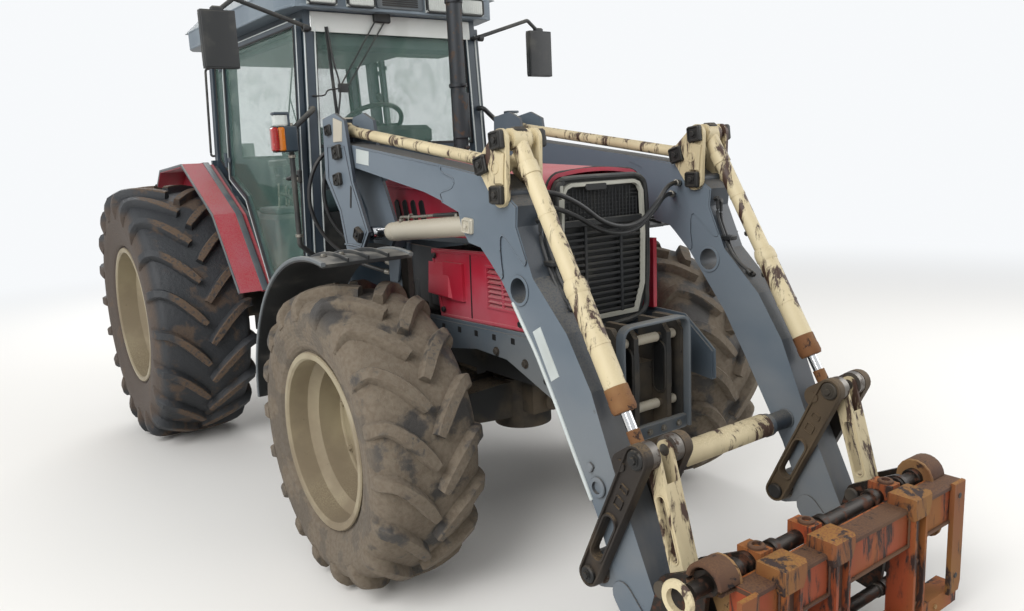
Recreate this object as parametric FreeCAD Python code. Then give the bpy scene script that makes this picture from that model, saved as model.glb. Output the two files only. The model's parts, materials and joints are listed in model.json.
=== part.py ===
import FreeCAD, Part
import math
import os

# Farm tractor with a front loader and a tool carrier.
# Millimetres, +Z up. The tractor faces -Y and its left side is at +X.
# While it is drawn, y = 0 lies on the rear axle and z = 0 on the ground.
# Every piece is then moved by MID_SHIFT, so that the origin stands on the
# ground in the middle of the whole machine.

V = FreeCAD.Vector

# Running gear
WHEELBASE = 2750
REAR_TRACK = 1860
REAR_TYRE_R = 850
REAR_TYRE_W = 600
REAR_RIM_R = 455
REAR_RIM_W = 508
FRONT_TRACK = 1720
FRONT_TYRE_R = 650
FRONT_TYRE_W = 470
FRONT_RIM_R = 380
FRONT_RIM_W = 392
RIM_LIP = 24
RIM_WALL = 12
KINGPIN_X = 680
KINGPIN_R = 28

# Clearances
SEAT = 0.3
RUN = 5.0
PIN_CLEAR = 0.5

# Front end
FRONT_Y = -WHEELBASE
HOOD_FRONT_Y = -3330
HOOD_REAR_Y = -1900
HOOD_FOOT_Z = 1410
HOOD_NOSE_HALF = 265
HOOD_NOSE_TOP = 1715
HOOD_TAIL_HALF = 330
HOOD_TAIL_TOP = 1785
HOOD_SHOULDER_R = 80
HOOD_WALL = 16
FRAME_X = 385
FRAME_PLATE = 25
PANEL_X = 372
PANEL_WALL = 22

# Cab
CAB_FRONT_Y = -1715
CAB_REAR_Y = -90
CAB_FLOOR_Z = 1130
CAB_TOP_Z = 2580
CAB_FOOT_HALF = 625
CAB_SIDE_X = 590
CAB_LEAN = 2.4
DOOR_HINGE_Y = -470
POST = 62
ROOF_Z = 2800
DOOR_RIM = 36
DOOR_THICK = 28
GLASS = 6

# Loader: places are (y, z) in the side view
ARM_X = 520
ARM_W = 120
ARM_PIVOT = (-2170, 1845)
CRANK_PIVOT = (-3475, 1655)
CRANK_OFFSET = (90, 108)
CRANK_TOP = (-3489, 1848)
LIFT_MAST_PIN = (-2335, 1455)
LIFT_ARM_PIN = (-3243, 1533)
CAST_FOOT = (-3925, 372)
KNEE = (-4160, 850)
ROD_EYE = (-4092, 812)
CARRIER_PIN = (-4272, 466)
CARRIER_PIVOT = (-4190, 175)
CARRIER_SHAFT = (-4430, 545)
CARRIER_TOE = (-4380, 120)
CROSS_SHAFT_R = 50
FOOT_HUB_R = 50
FOOT_HUB_WALL = 12
KNEE_HUB_R = 46
HUB_PLAY = 2
BRACKET_PLATE = 16
LINK_TUBE_R = 25
PIN_R = 20
TOOL_EYE_HALF = 21
LIFT_EYE_HALF = 30
FORK_HALF = TOOL_EYE_HALF + 3

CRANK_REAR = (CRANK_PIVOT[0] + CRANK_OFFSET[0], CRANK_PIVOT[1] + CRANK_OFFSET[1])
LINK_MAST_PIN = (ARM_PIVOT[0] + CRANK_OFFSET[0], ARM_PIVOT[1] + CRANK_OFFSET[1])

# Hoses: their routes, as points (x, y, z)
HOSE_R = 10
NIPPLE_R = 14
HOSE_CUT = 0.45
ARM_HOSE_UPPER = [(-440, -3385, 1640), (-345, -3420, 1660), (-205, -3450, 1600), (-60, -3455, 1495),
                  (110, -3455, 1480), (235, -3450, 1565), (345, -3420, 1650), (440, -3385, 1640)]
ARM_HOSE_LOWER = [(-440, -3350, 1590), (-355, -3395, 1605), (-210, -3425, 1555), (-55, -3430, 1465),
                  (115, -3430, 1450), (240, -3425, 1530), (350, -3395, 1605), (440, -3350, 1590)]
MAST_HOSE_OUTER = [(-520, -1985, 1880), (-555, -1925, 1860), (-605, -1890, 1800), (-643, -1872, 1705),
                   (-652, -1865, 1590), (-620, -1868, 1478), (-560, -1893, 1378), (-485, -1950, 1300),
                   (-412, -2032, 1250), (-352, -2128, 1225)]
MAST_HOSE_INNER = [(-485, -1985, 1835), (-515, -1925, 1815), (-550, -1888, 1765), (-572, -1876, 1680),
                   (-570, -1876, 1575), (-538, -1890, 1478), (-485, -1925, 1395), (-420, -1993, 1330),
                   (-365, -2065, 1290), (-345, -2128, 1272)]

NODES = {}


def box(x0, x1, y0, y1, z0, z1):
    return Part.makeBox(x1 - x0, y1 - y0, z1 - z0, V(x0, y0, z0))


def bar(start, end, radius):
    start, end = V(*start), V(*end)
    return Part.makeCylinder(radius, (end - start).Length, start, end - start)


def cross_bar(place, radius, x0, x1):
    return bar((x0, place[0], place[1]), (x1, place[0], place[1]), radius)


def closed_face(points):
    return Part.Face(Part.makePolygon(points + points[:1]))


def side_plate(outline, x0, x1):
    return closed_face([V(x0, y, z) for y, z in outline]).extrude(V(x1 - x0, 0, 0))


def front_plate(outline, y0, y1):
    return closed_face([V(x, y0, z) for x, z in outline]).extrude(V(0, y1 - y0, 0))


def floor_plate(outline, z0, z1):
    return closed_face([V(x, y, z0) for x, y in outline]).extrude(V(0, 0, z1 - z0))


def strap_outline(p, q, rp, rq, x):
    """Outline of a link with round ends: two arcs and their common tangents."""
    dy, dz = q[0] - p[0], q[1] - p[1]
    along = math.atan2(dz, dy)
    swing = math.acos((rp - rq) / math.hypot(dy, dz))

    def on(centre, radius, angle):
        return V(x, centre[0] + radius * math.cos(angle), centre[1] + radius * math.sin(angle))

    p_up, p_low = on(p, rp, along + swing), on(p, rp, along - swing)
    q_up, q_low = on(q, rq, along + swing), on(q, rq, along - swing)
    edges = [
        Part.LineSegment(p_up, q_up).toShape(),
        Part.Arc(q_up, on(q, rq, along), q_low).toShape(),
        Part.LineSegment(q_low, p_low).toShape(),
        Part.Arc(p_low, on(p, rp, along + math.pi), p_up).toShape(),
    ]
    return Part.Wire(edges)


def strap(p, q, rp, rq, x0, x1):
    return Part.Face(strap_outline(p, q, rp, rq, x0)).extrude(V(x1 - x0, 0, 0))


def post(foot, top, width, depth):
    """Upright of a rectangular section between two centre points."""
    rings = []
    for x, y, z in (foot, top):
        w, d = width / 2, depth / 2
        corners = [V(x - w, y - d, z), V(x + w, y - d, z), V(x + w, y + d, z), V(x - w, y + d, z)]
        rings.append(Part.makePolygon(corners + corners[:1]))
    return Part.makeLoft(rings, True, True)


def bent_tube(points, bend, radius):
    """Round tube along straight runs joined by tangent arcs."""
    points = [V(*p) for p in points]
    edges = []
    start = points[0]
    for before, corner, after in zip(points, points[1:], points[2:]):
        into, out = (corner - before).normalize(), (after - corner).normalize()
        half = into.getAngle(out) / 2
        cut = bend * math.tan(half)
        first, last = corner - into * cut, corner + out * cut
        middle = corner + (out - into).normalize() * (bend / math.cos(half) - bend)
        edges.append(Part.LineSegment(start, first).toShape())
        edges.append(Part.Arc(first, middle, last).toShape())
        start = last
    edges.append(Part.LineSegment(start, points[-1]).toShape())
    path = Part.Wire(edges)
    ring = Part.Wire([Part.makeCircle(radius, points[0], points[1] - points[0])])
    return path.makePipeShell([ring], True, False)


def hose_tube(name, points):
    """Hose along its route; each corner's arc follows the shorter run beside it and its turn."""
    points = [V(*p) for p in points]
    edges = []
    radii = []
    start = points[0]
    for before, corner, after in zip(points, points[1:], points[2:]):
        into, out = corner - before, after - corner
        shorter = min(into.Length, out.Length)
        into.normalize()
        out.normalize()
        half = into.getAngle(out) / 2
        cut = HOSE_CUT * shorter
        bend = cut / math.tan(half)
        radii.append(round(bend))
        first, last = corner - into * cut, corner + out * cut
        middle = corner + (out - into).normalize() * (bend / math.cos(half) - bend)
        edges.append(Part.LineSegment(start, first).toShape())
        edges.append(Part.Arc(first, middle, last).toShape())
        start = last
    edges.append(Part.LineSegment(start, points[-1]).toShape())
    path = Part.Wire(edges)
    ring = Part.Wire([Part.makeCircle(HOSE_R, points[0], points[1] - points[0])])
    print(name, "length", round(path.Length, 1), "radii", radii)
    return path.makePipeShell([ring], True, False)


def hose_nipple(end, inner, depth):
    """Fitting whose face meets the hose's end and whose other end is let into the piece that carries it."""
    end = V(*end)
    out = (end - V(*inner)).normalize()
    return bar(tuple(end), tuple(end + out * depth), NIPPLE_R)


def fuse(shapes):
    return shapes[0].multiFuse(shapes[1:]).removeSplitter()


def mirrored(shape):
    return shape.mirror(V(0, 0, 0), V(1, 0, 0))


def both(shape):
    return Part.makeCompound([shape, mirrored(shape)])


def turned(profile, x=0.0, y=0.0, z=0.0):
    """Solid of a closed profile of (axial, radius) points, turned about a crosswise axle."""
    face = closed_face([V(x + a, y, z + r) for a, r in profile])
    return face.revolve(V(0, y, z), V(1, 0, 0), 360)


def add(name, shape):
    NODES[name] = shape


def for_sides(name, shape):
    """Left piece as it is, right piece by reflection, as two nodes."""
    add(name + "_left", shape)
    add(name + "_right", mirrored(shape))


# Wheels

def tyre(radius, width, rim_radius, rim_width):
    """Carcass without lugs: round tread, bulged side walls, bore on the rim's seats."""
    seat_r = rim_radius - RIM_LIP + SEAT
    foot = rim_width / 2 - SEAT
    tread = width * 0.44
    heel_r = rim_radius + 3
    belly = heel_r + (radius - heel_r) * 0.5
    left = [V(-foot, 0, heel_r), V(-width / 2, 0, belly), V(-tread, 0, radius - 22)]
    right = [V(-p.x, 0, p.z) for p in reversed(left)]
    crown = V(0, 0, radius)
    edges = [
        Part.Arc(*left).toShape(),
        Part.Arc(left[2], crown, right[0]).toShape(),
        Part.Arc(*right).toShape(),
        Part.LineSegment(right[2], V(foot, 0, seat_r)).toShape(),
        Part.LineSegment(V(foot, 0, seat_r), V(-foot, 0, seat_r)).toShape(),
        Part.LineSegment(V(-foot, 0, seat_r), left[0]).toShape(),
    ]
    return Part.Face(Part.Wire(edges)).revolve(V(0, 0, 0), V(1, 0, 0), 360)


def rim(rim_radius, rim_width, disc_x, hub_radius):
    """Barrel with two lips, a drop centre and a dished disc; x grows outwards."""
    w = rim_width / 2
    seat_r = rim_radius - RIM_LIP
    well_r = seat_r - 38
    well = w * 0.42
    lip = RIM_WALL
    barrel = turned([
        (-w - lip, rim_radius), (-w, rim_radius), (-w, seat_r), (-well - 38, seat_r), (-well, well_r),
        (well, well_r), (well + 38, seat_r), (w, seat_r), (w, rim_radius), (w + lip, rim_radius),
        (w + lip, seat_r - RIM_WALL), (well + 30, seat_r - RIM_WALL), (well - 8, well_r - RIM_WALL),
        (-well + 8, well_r - RIM_WALL), (-well - 30, seat_r - RIM_WALL), (-w - lip, seat_r - RIM_WALL),
    ])
    outer = well_r - RIM_WALL / 2
    disc = turned([
        (disc_x, 0), (disc_x, hub_radius), (disc_x + 45, hub_radius + 60), (disc_x + 45, outer),
        (disc_x + 59, outer), (disc_x + 59, hub_radius + 52), (disc_x + 16, hub_radius - 6), (disc_x + 16, 0),
    ])
    return fuse([barrel, disc])


REAR_X = REAR_TRACK / 2
FRONT_X = FRONT_TRACK / 2
REAR_DISC_X = -70
FRONT_DISC_X = -85
HUB_R = {"rear": 130, "front": 150}

rear_tyre = tyre(REAR_TYRE_R, REAR_TYRE_W, REAR_RIM_R, REAR_RIM_W)
rear_rim = rim(REAR_RIM_R, REAR_RIM_W, REAR_DISC_X, HUB_R["rear"])
front_tyre = tyre(FRONT_TYRE_R, FRONT_TYRE_W, FRONT_RIM_R, FRONT_RIM_W)
front_rim = rim(FRONT_RIM_R, FRONT_RIM_W, FRONT_DISC_X, HUB_R["front"])
for name, shape, place in (
    ("rear_tyre", rear_tyre, (REAR_X, 0, REAR_TYRE_R)),
    ("rear_rim", rear_rim, (REAR_X, 0, REAR_TYRE_R)),
    ("front_tyre", front_tyre, (FRONT_X, FRONT_Y, FRONT_TYRE_R)),
    ("front_rim", front_rim, (FRONT_X, FRONT_Y, FRONT_TYRE_R)),
):
    for_sides(name, shape.translated(V(*place)))

# Drive train

CASE_HALF = 190
CASE_LOW_Z = 560
CASE_TOP_Z = 1080
CENTRE_HALF = 270
ENGINE_HALF = 250
ENGINE_REAR_Y = FRONT_Y + 670
ENGINE_TOP_REAR_Y = FRONT_Y + 560
ENGINE_FRONT_Y = FRONT_Y - 380
ENGINE_LOW_Z = 940
ENGINE_TOP_Z = 1330
ENGINE_STEP_Z = 1060
SUMP_LOW_Z = 750
SUMP_FRONT_Y = FRONT_Y + 370

engine = fuse([
    box(-ENGINE_HALF, ENGINE_HALF, ENGINE_FRONT_Y, ENGINE_REAR_Y, ENGINE_LOW_Z, ENGINE_STEP_Z),
    box(-ENGINE_HALF, ENGINE_HALF, ENGINE_FRONT_Y, ENGINE_TOP_REAR_Y, ENGINE_STEP_Z, ENGINE_TOP_Z),
    box(-CASE_HALF, CASE_HALF, SUMP_FRONT_Y, ENGINE_REAR_Y, SUMP_LOW_Z, ENGINE_LOW_Z),
])
add("engine_block", engine)

REAR_DISC_FACE = REAR_X + REAR_DISC_X
case = fuse([
    box(-CASE_HALF, CASE_HALF, ENGINE_REAR_Y, -300, CASE_LOW_Z, CASE_TOP_Z),
    box(-CENTRE_HALF, CENTRE_HALF, -300, 310, CASE_LOW_Z, CASE_TOP_Z),
    bar((-REAR_DISC_FACE + 60, 0, REAR_TYRE_R), (REAR_DISC_FACE - 60, 0, REAR_TYRE_R), 125),
    bar((-REAR_DISC_FACE + SEAT, 0, REAR_TYRE_R), (REAR_DISC_FACE - SEAT, 0, REAR_TYRE_R), 62),
])

# Front support and axle

AXLE_Z = FRONT_TYRE_R
YOKE_H = 135
YOKE_T = 38
SUPPORT_LOW_Z = 800
support = fuse([
    box(-230, 230, FRONT_Y - 730, SUMP_FRONT_Y - SEAT, SUPPORT_LOW_Z, ENGINE_LOW_Z - SEAT),
    box(-110, 110, FRONT_Y - 230, FRONT_Y - 150, 600, SUPPORT_LOW_Z),
    box(-110, 110, FRONT_Y + 150, FRONT_Y + 230, 600, SUPPORT_LOW_Z),
])
PIVOT_R = 45
support = support.cut(bar((0, FRONT_Y - 250, AXLE_Z), (0, FRONT_Y + 250, AXLE_Z), PIVOT_R + PIN_CLEAR))

beam = fuse([
    front_plate([(-620, AXLE_Z - 55), (-150, AXLE_Z - 95), (150, AXLE_Z - 95), (620, AXLE_Z - 55),
                 (620, AXLE_Z + 55), (150, AXLE_Z + 80), (-150, AXLE_Z + 80), (-620, AXLE_Z + 55)],
                FRONT_Y - 75, FRONT_Y + 75),
    bar((0, FRONT_Y - 250, AXLE_Z), (0, FRONT_Y + 250, AXLE_Z), PIVOT_R),
    bar((0, FRONT_Y, AXLE_Z - 150), (0, FRONT_Y, AXLE_Z + 90), 140),
])
yokes = []
for side in (-1, 1):
    inner, outer = side * 560, side * (KINGPIN_X + 42)
    x0, x1 = min(inner, outer), max(inner, outer)
    root0, root1 = min(side * 560, side * 618), max(side * 560, side * 618)
    yokes.append(box(x0, x1, FRONT_Y - 55, FRONT_Y + 55, AXLE_Z + YOKE_H, AXLE_Z + YOKE_H + YOKE_T))
    yokes.append(box(x0, x1, FRONT_Y - 55, FRONT_Y + 55, AXLE_Z - YOKE_H - YOKE_T, AXLE_Z - YOKE_H))
    yokes.append(box(root0, root1, FRONT_Y - 55, FRONT_Y + 55, AXLE_Z - YOKE_H - YOKE_T, AXLE_Z + YOKE_H + YOKE_T))
beam = fuse([beam] + yokes)
kingpin_hole_low = bar((KINGPIN_X, FRONT_Y, AXLE_Z - 200), (KINGPIN_X, FRONT_Y, AXLE_Z - 100), KINGPIN_R + PIN_CLEAR)
kingpin_hole_top = bar((KINGPIN_X, FRONT_Y, AXLE_Z + 100), (KINGPIN_X, FRONT_Y, AXLE_Z + 200), KINGPIN_R + PIN_CLEAR)
for hole in (kingpin_hole_low, kingpin_hole_top):
    beam = beam.cut(hole).cut(mirrored(hole))
add("front_axle", beam)

FRONT_DISC_FACE = FRONT_X + FRONT_DISC_X
FENDER_IN_X = 650
FENDER_OUT_X = 1050
FENDER_GAP = 120
FENDER_R = FRONT_TYRE_R + FENDER_GAP
FENDER_T = 14
STAY_X = 585
STAY_W = 24
STAY_Z = AXLE_Z + YOKE_H + YOKE_T + RUN
FENDER_REAR_END = math.radians(2)
FENDER_FRONT_END = math.radians(101)
knuckle = fuse([
    bar((KINGPIN_X, FRONT_Y, AXLE_Z - YOKE_H + RUN), (KINGPIN_X, FRONT_Y, AXLE_Z + YOKE_H - RUN), 52),
    bar((KINGPIN_X, FRONT_Y, AXLE_Z - YOKE_H - YOKE_T), (KINGPIN_X, FRONT_Y, STAY_Z), KINGPIN_R),
    bar((KINGPIN_X, FRONT_Y, AXLE_Z), (FRONT_DISC_FACE - SEAT, FRONT_Y, AXLE_Z), 118),
])
under_guard = bar((STAY_X, FRONT_Y, AXLE_Z), (FENDER_OUT_X - 60, FRONT_Y, AXLE_Z), FENDER_R - FENDER_T - SEAT)
stay = fuse([
    box(STAY_X, KINGPIN_X + 40, FRONT_Y - 40, FRONT_Y + 40, STAY_Z, STAY_Z + 14),
    box(STAY_X, STAY_X + STAY_W, FRONT_Y - 30, FRONT_Y + 30, STAY_Z, AXLE_Z + FENDER_R),
    box(STAY_X, FENDER_OUT_X - 60, FRONT_Y - 30, FRONT_Y + 30, AXLE_Z + FENDER_R - 45, AXLE_Z + FENDER_R),
]).common(under_guard)
for_sides("knuckle", fuse([knuckle, stay]))


def fender_arc(radius, x):
    """Points of the mudguard's arc from its rear end to its front end."""
    spots = []
    for part in (0.0, 0.5, 1.0):
        angle = FENDER_REAR_END + (FENDER_FRONT_END - FENDER_REAR_END) * part
        spots.append(V(x, FRONT_Y + radius * math.cos(angle), AXLE_Z + radius * math.sin(angle)))
    return spots


outer_arc, inner_arc = fender_arc(FENDER_R, FENDER_IN_X), fender_arc(FENDER_R - FENDER_T, FENDER_IN_X)
guard = Part.Face(Part.Wire([
    Part.Arc(*outer_arc).toShape(),
    Part.LineSegment(outer_arc[2], inner_arc[2]).toShape(),
    Part.Arc(*reversed(inner_arc)).toShape(),
    Part.LineSegment(inner_arc[0], outer_arc[0]).toShape(),
])).extrude(V(FENDER_OUT_X - FENDER_IN_X, 0, 0))
for_sides("front_fender", guard)

# Front bracket with its two upright plates and pins

BRACKET_Y = FRONT_Y - 730
BRACKET_SIDE = [(BRACKET_Y - 80, 640), (BRACKET_Y - 160, 700), (BRACKET_Y - 160, 1060), (BRACKET_Y - 120, 1110),
                (BRACKET_Y, 1110), (BRACKET_Y, 640)]
bracket = fuse([
    support,
    box(-200, 200, BRACKET_Y - 80, BRACKET_Y, 620, 930),
    side_plate(BRACKET_SIDE, -190, -165),
    side_plate(BRACKET_SIDE, -105, -80),
    side_plate(BRACKET_SIDE, 80, 105),
    side_plate(BRACKET_SIDE, 165, 190),
    cross_bar((BRACKET_Y - 120, 1040), 16, -205, 205),
    cross_bar((BRACKET_Y - 120, 760), 16, -205, 205),
])
add("front_support", bracket)

# Loader side frames and masts

FRAME_OUTLINE = [(-2290, 1045), (-3340, 1065), (-3480, 1060), (-3640, 930), (-3640, 806), (-3523, 819),
                 (-3171, 950), (-2948, 960), (-2560, 905), (-2290, 905)]
frame_side = side_plate(FRAME_OUTLINE, FRAME_X - FRAME_PLATE, FRAME_X)
tower_foot = box(FRAME_X - FRAME_PLATE - 30, FRAME_X - FRAME_PLATE, -2330, -2150, 920, 1400)
MAST_FOOT_Z = 1372
cross_foot = box(FRAME_X - FRAME_PLATE - 30, ARM_X - ARM_W / 2 - 24, -2320, -2180, MAST_FOOT_Z, MAST_FOOT_Z + 70)
clamp = box(ENGINE_HALF + SEAT, FRAME_X - FRAME_PLATE, -2400, -2200, 945, 1000)
side_frame = fuse([frame_side, tower_foot, cross_foot, clamp])
NIPPLE_DEPTH = 45
hose_side_frame = fuse([mirrored(side_frame)] + [
    hose_nipple(route[-1], route[-2], NIPPLE_DEPTH) for route in (MAST_HOSE_OUTER, MAST_HOSE_INNER)])
add("loader_side_frames", Part.makeCompound([side_frame, hose_side_frame]))

MAST_OUTLINE = [(-2010, 2010), (-2150, 2030), (-2250, 1990), (-2300, 1700), (-2420, 1470), (-2330, 1368),
                (-2170, MAST_FOOT_Z), (-2120, 1560), (-1990, 1720)]
mast_in = side_plate(MAST_OUTLINE, ARM_X - ARM_W / 2 - 24, ARM_X - ARM_W / 2 - 24 + BRACKET_PLATE)
mast_out = side_plate(MAST_OUTLINE, ARM_X + ARM_W / 2 + 8, ARM_X + ARM_W / 2 + 24)
mast_in_x, mast_out_x = ARM_X - ARM_W / 2 - 24, ARM_X + ARM_W / 2 + 24
mast = fuse([
    mast_in,
    mast_out,
    side_plate([(-1990, 1720), (-2010, 2010), (-2030, 2010), (-2012, 1730)], mast_in_x, mast_out_x),
    side_plate([(-2330, 1368), (-2170, MAST_FOOT_Z), (-2170, 1392), (-2330, 1388)], mast_in_x, mast_out_x),
    cross_bar(ARM_PIVOT, PIN_R, mast_in_x, mast_out_x + 6),
    cross_bar(LINK_MAST_PIN, PIN_R, mast_in_x, mast_out_x + 6),
    cross_bar(LIFT_MAST_PIN, PIN_R, mast_in_x - 6, mast_in_x + BRACKET_PLATE),
    cross_bar(LIFT_MAST_PIN, PIN_R, mast_out_x - BRACKET_PLATE, mast_out_x + 6),
])
hose_mast = fuse([mirrored(mast)] + [
    hose_nipple(route[0], route[1], NIPPLE_DEPTH) for route in (MAST_HOSE_OUTER, MAST_HOSE_INNER)])
add("loader_masts", Part.makeCompound([mast, hose_mast]))

# Loader arms

arm_low, arm_high = ARM_X - ARM_W / 2, ARM_X + ARM_W / 2
ARM_OUTLINE = [
    (-2120, 1893), (-2271, 1874), (-3002, 1777), (-3380, 1722), (-3553, 1614), (-3545, 1540), (-3589, 1440),
    (-3623, 1362), (-3798, 1187), (-3914, 1006), (-4021, 748), (-4215, 337), (-4250, 190), (-4215, 118),
    (-4160, 118), (-4040, 309), (-3927, 575), (-3732, 914), (-3620, 1097), (-3430, 1340), (-3309, 1456),
    (-3229, 1470), (-3183, 1523), (-3166, 1587), (-3056, 1622), (-2912, 1659), (-2271, 1770), (-2120, 1795),
]
LOWER_TUBE = (-3940, 680)
LOWER_TUBE_R = 38
SIDE_HOLE = (-3540, 1310)
SIDE_HOLE_R = 46
arm = side_plate(ARM_OUTLINE, arm_low, arm_high)
foot_low, foot_high = arm_low + 8, arm_high - 8
arm = fuse([arm, strap(CAST_FOOT, (-4060, 420), FOOT_HUB_R + FOOT_HUB_WALL, 60, foot_low, foot_high)])
arm = arm.cut(cross_bar(SIDE_HOLE, SIDE_HOLE_R, arm_low - 1, arm_high + 1))
arm = arm.cut(cross_bar(ARM_PIVOT, PIN_R + PIN_CLEAR, arm_low - 1, arm_high + 1))
arm = arm.cut(cross_bar(CARRIER_PIVOT, PIN_R + PIN_CLEAR, arm_low - 1, arm_high + 1))
arm = arm.cut(cross_bar(CAST_FOOT, FOOT_HUB_R + PIN_CLEAR, arm_low - 1, arm_high + 1))
slot_half = 46
arm = arm.cut(side_plate([(LIFT_ARM_PIN[0] + 140, LIFT_ARM_PIN[1] - 90), (LIFT_ARM_PIN[0] - 60, LIFT_ARM_PIN[1] - 90),
                          (LIFT_ARM_PIN[0] - 60, LIFT_ARM_PIN[1] + 60), (LIFT_ARM_PIN[0] + 140, LIFT_ARM_PIN[1] + 60)],
                         ARM_X - slot_half, ARM_X + slot_half))
arm = fuse([arm, cross_bar(CRANK_PIVOT, PIN_R, arm_low - 26, arm_high + 26),
            cross_bar(LIFT_ARM_PIN, PIN_R, arm_low, arm_high + 10)])
lower_tube = cross_bar(LOWER_TUBE, LOWER_TUBE_R, -arm_low, arm_low)
arm_nipples = []
for route in (ARM_HOSE_UPPER, ARM_HOSE_LOWER):
    arm_nipples.append(hose_nipple(route[0], route[1], NIPPLE_DEPTH))
    arm_nipples.append(hose_nipple(route[-1], route[-2], NIPPLE_DEPTH))
add("loader_arms", fuse([arm, mirrored(arm), lower_tube] + arm_nipples))

# Bell cranks over the arms and the levelling links to the masts

crank_x = (arm_low - 22, arm_high + 6)


def crank_plate(x0):
    x1 = x0 + BRACKET_PLATE
    plate = fuse([
        strap(CRANK_PIVOT, CRANK_TOP, 46, 40, x0, x1),
        strap(CRANK_PIVOT, CRANK_REAR, 46, 38, x0, x1),
        strap(CRANK_REAR, CRANK_TOP, 38, 40, x0, x1),
        side_plate([CRANK_PIVOT, CRANK_TOP, CRANK_REAR], x0, x1),
    ])
    return plate.cut(cross_bar(CRANK_PIVOT, PIN_R + PIN_CLEAR, x0 - 1, x1 + 1))


crank = fuse([
    crank_plate(crank_x[0]),
    crank_plate(crank_x[1]),
    cross_bar(CRANK_TOP, PIN_R, crank_x[0], crank_x[1] + BRACKET_PLATE),
    cross_bar(CRANK_REAR, PIN_R, crank_x[0], crank_x[1] + BRACKET_PLATE),
])
add("bell_cranks", both(crank))


def eye(place, radius, x0, x1):
    """Eye of a link or cylinder, bored for its pin."""
    return cross_bar(place, radius, x0, x1), cross_bar(place, PIN_R + PIN_CLEAR, x0 - 1, x1 + 1)


def rod_between(p, q, radius, x):
    return bar((x, p[0], p[1]), (x, q[0], q[1]), radius)


def towards(p, q, distance):
    length = math.hypot(q[0] - p[0], q[1] - p[1])
    return (p[0] + (q[0] - p[0]) * distance / length, p[1] + (q[1] - p[1]) * distance / length)


def pinned(body, *eyes):
    """Body fused with its eyes, with every pin hole cut through."""
    whole = fuse([body] + [ring for ring, hole in eyes])
    for ring, hole in eyes:
        whole = whole.cut(hole)
    return whole


link = pinned(
    rod_between(LINK_MAST_PIN, CRANK_REAR, LINK_TUBE_R, ARM_X),
    eye(LINK_MAST_PIN, 34, ARM_X - 30, ARM_X + 30),
    eye(CRANK_REAR, 34, ARM_X - 30, ARM_X + 30),
)
add("levelling_links", both(link))

# Cylinders: a bored barrel with its eye, and a rod with a piston

LIFT_BARREL_R, LIFT_BORE_R, LIFT_ROD_R = 43, 33, 22
LIFT_GLAND = 740
TOOL_BARREL_R, TOOL_BORE_R, TOOL_ROD_R = 40, 28, 19
TOOL_NECK = 620
TOOL_NECK_R = 32
TOOL_GLAND = 1040
GLAND_T = 40
END_WALL = 60


def barrel(base, rod_eye, outer_r, bore_r, rod_r, gland, bore_start, sleeve=None):
    shapes = [rod_between(base, towards(base, rod_eye, gland), outer_r, ARM_X)]
    if sleeve:
        neck, neck_r = sleeve
        shapes = [rod_between(base, towards(base, rod_eye, neck), neck_r, ARM_X),
                  rod_between(towards(base, rod_eye, neck - 30), towards(base, rod_eye, gland), outer_r, ARM_X)]
    ring = cross_bar(base, 40, ARM_X - 40, ARM_X + 40)
    hole = cross_bar(base, PIN_R + PIN_CLEAR, ARM_X - outer_r - 1, ARM_X + outer_r + 1)
    body = fuse(shapes + [ring])
    bore = rod_between(towards(base, rod_eye, bore_start), towards(base, rod_eye, gland - GLAND_T), bore_r, ARM_X)
    mouth = rod_between(towards(base, rod_eye, gland - GLAND_T - 5), towards(base, rod_eye, gland + 5),
                        rod_r + PIN_CLEAR, ARM_X)
    return body.cut(bore).cut(mouth).cut(hole)


def piston_rod(base, rod_eye, rod_r, bore_r, tail, eye_half):
    """Rod from its eye back to the piston, which lies 'tail' from the barrel's eye."""
    start, end = towards(base, rod_eye, tail), rod_eye
    piston = rod_between(start, towards(base, rod_eye, tail + 40), bore_r - PIN_CLEAR, ARM_X)
    ring, hole = eye(rod_eye, 34, ARM_X - eye_half, ARM_X + eye_half)
    return fuse([rod_between(start, end, rod_r, ARM_X), piston, ring]).cut(hole)


add("lift_barrels", both(barrel(LIFT_ARM_PIN, LIFT_MAST_PIN, LIFT_BARREL_R, LIFT_BORE_R, LIFT_ROD_R,
                                LIFT_GLAND, END_WALL)))
add("lift_rods", both(piston_rod(LIFT_ARM_PIN, LIFT_MAST_PIN, LIFT_ROD_R, LIFT_BORE_R, END_WALL + 10,
                                LIFT_EYE_HALF)))
add("tool_barrels", both(barrel(CRANK_TOP, ROD_EYE, TOOL_BARREL_R, TOOL_BORE_R, TOOL_ROD_R, TOOL_GLAND,
                                END_WALL + 100, (TOOL_NECK, TOOL_NECK_R))))
add("tool_rods", both(piston_rod(CRANK_TOP, ROD_EYE, TOOL_ROD_R, TOOL_BORE_R, 420, TOOL_EYE_HALF)))

# Linkage at the arm's end

cast_in_x, cast_out_x = arm_low - 40, arm_high + 12
CAST_PLATE = 28


def cast_plate(x0):
    x1 = x0 + CAST_PLATE
    plate = fuse([strap(CAST_FOOT, KNEE, 45, 48, x0, x1), strap(ROD_EYE, KNEE, 42, 48, x0, x1)])
    low, high = towards(CAST_FOOT, KNEE, 110), towards(CAST_FOOT, KNEE, 250)
    plate = plate.cut(strap(low, high, 24, 24, x0 - 1, x1 + 1))
    return plate.cut(cross_bar(CAST_FOOT, PIN_R + PIN_CLEAR, x0 - 1, x1 + 1))


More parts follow.
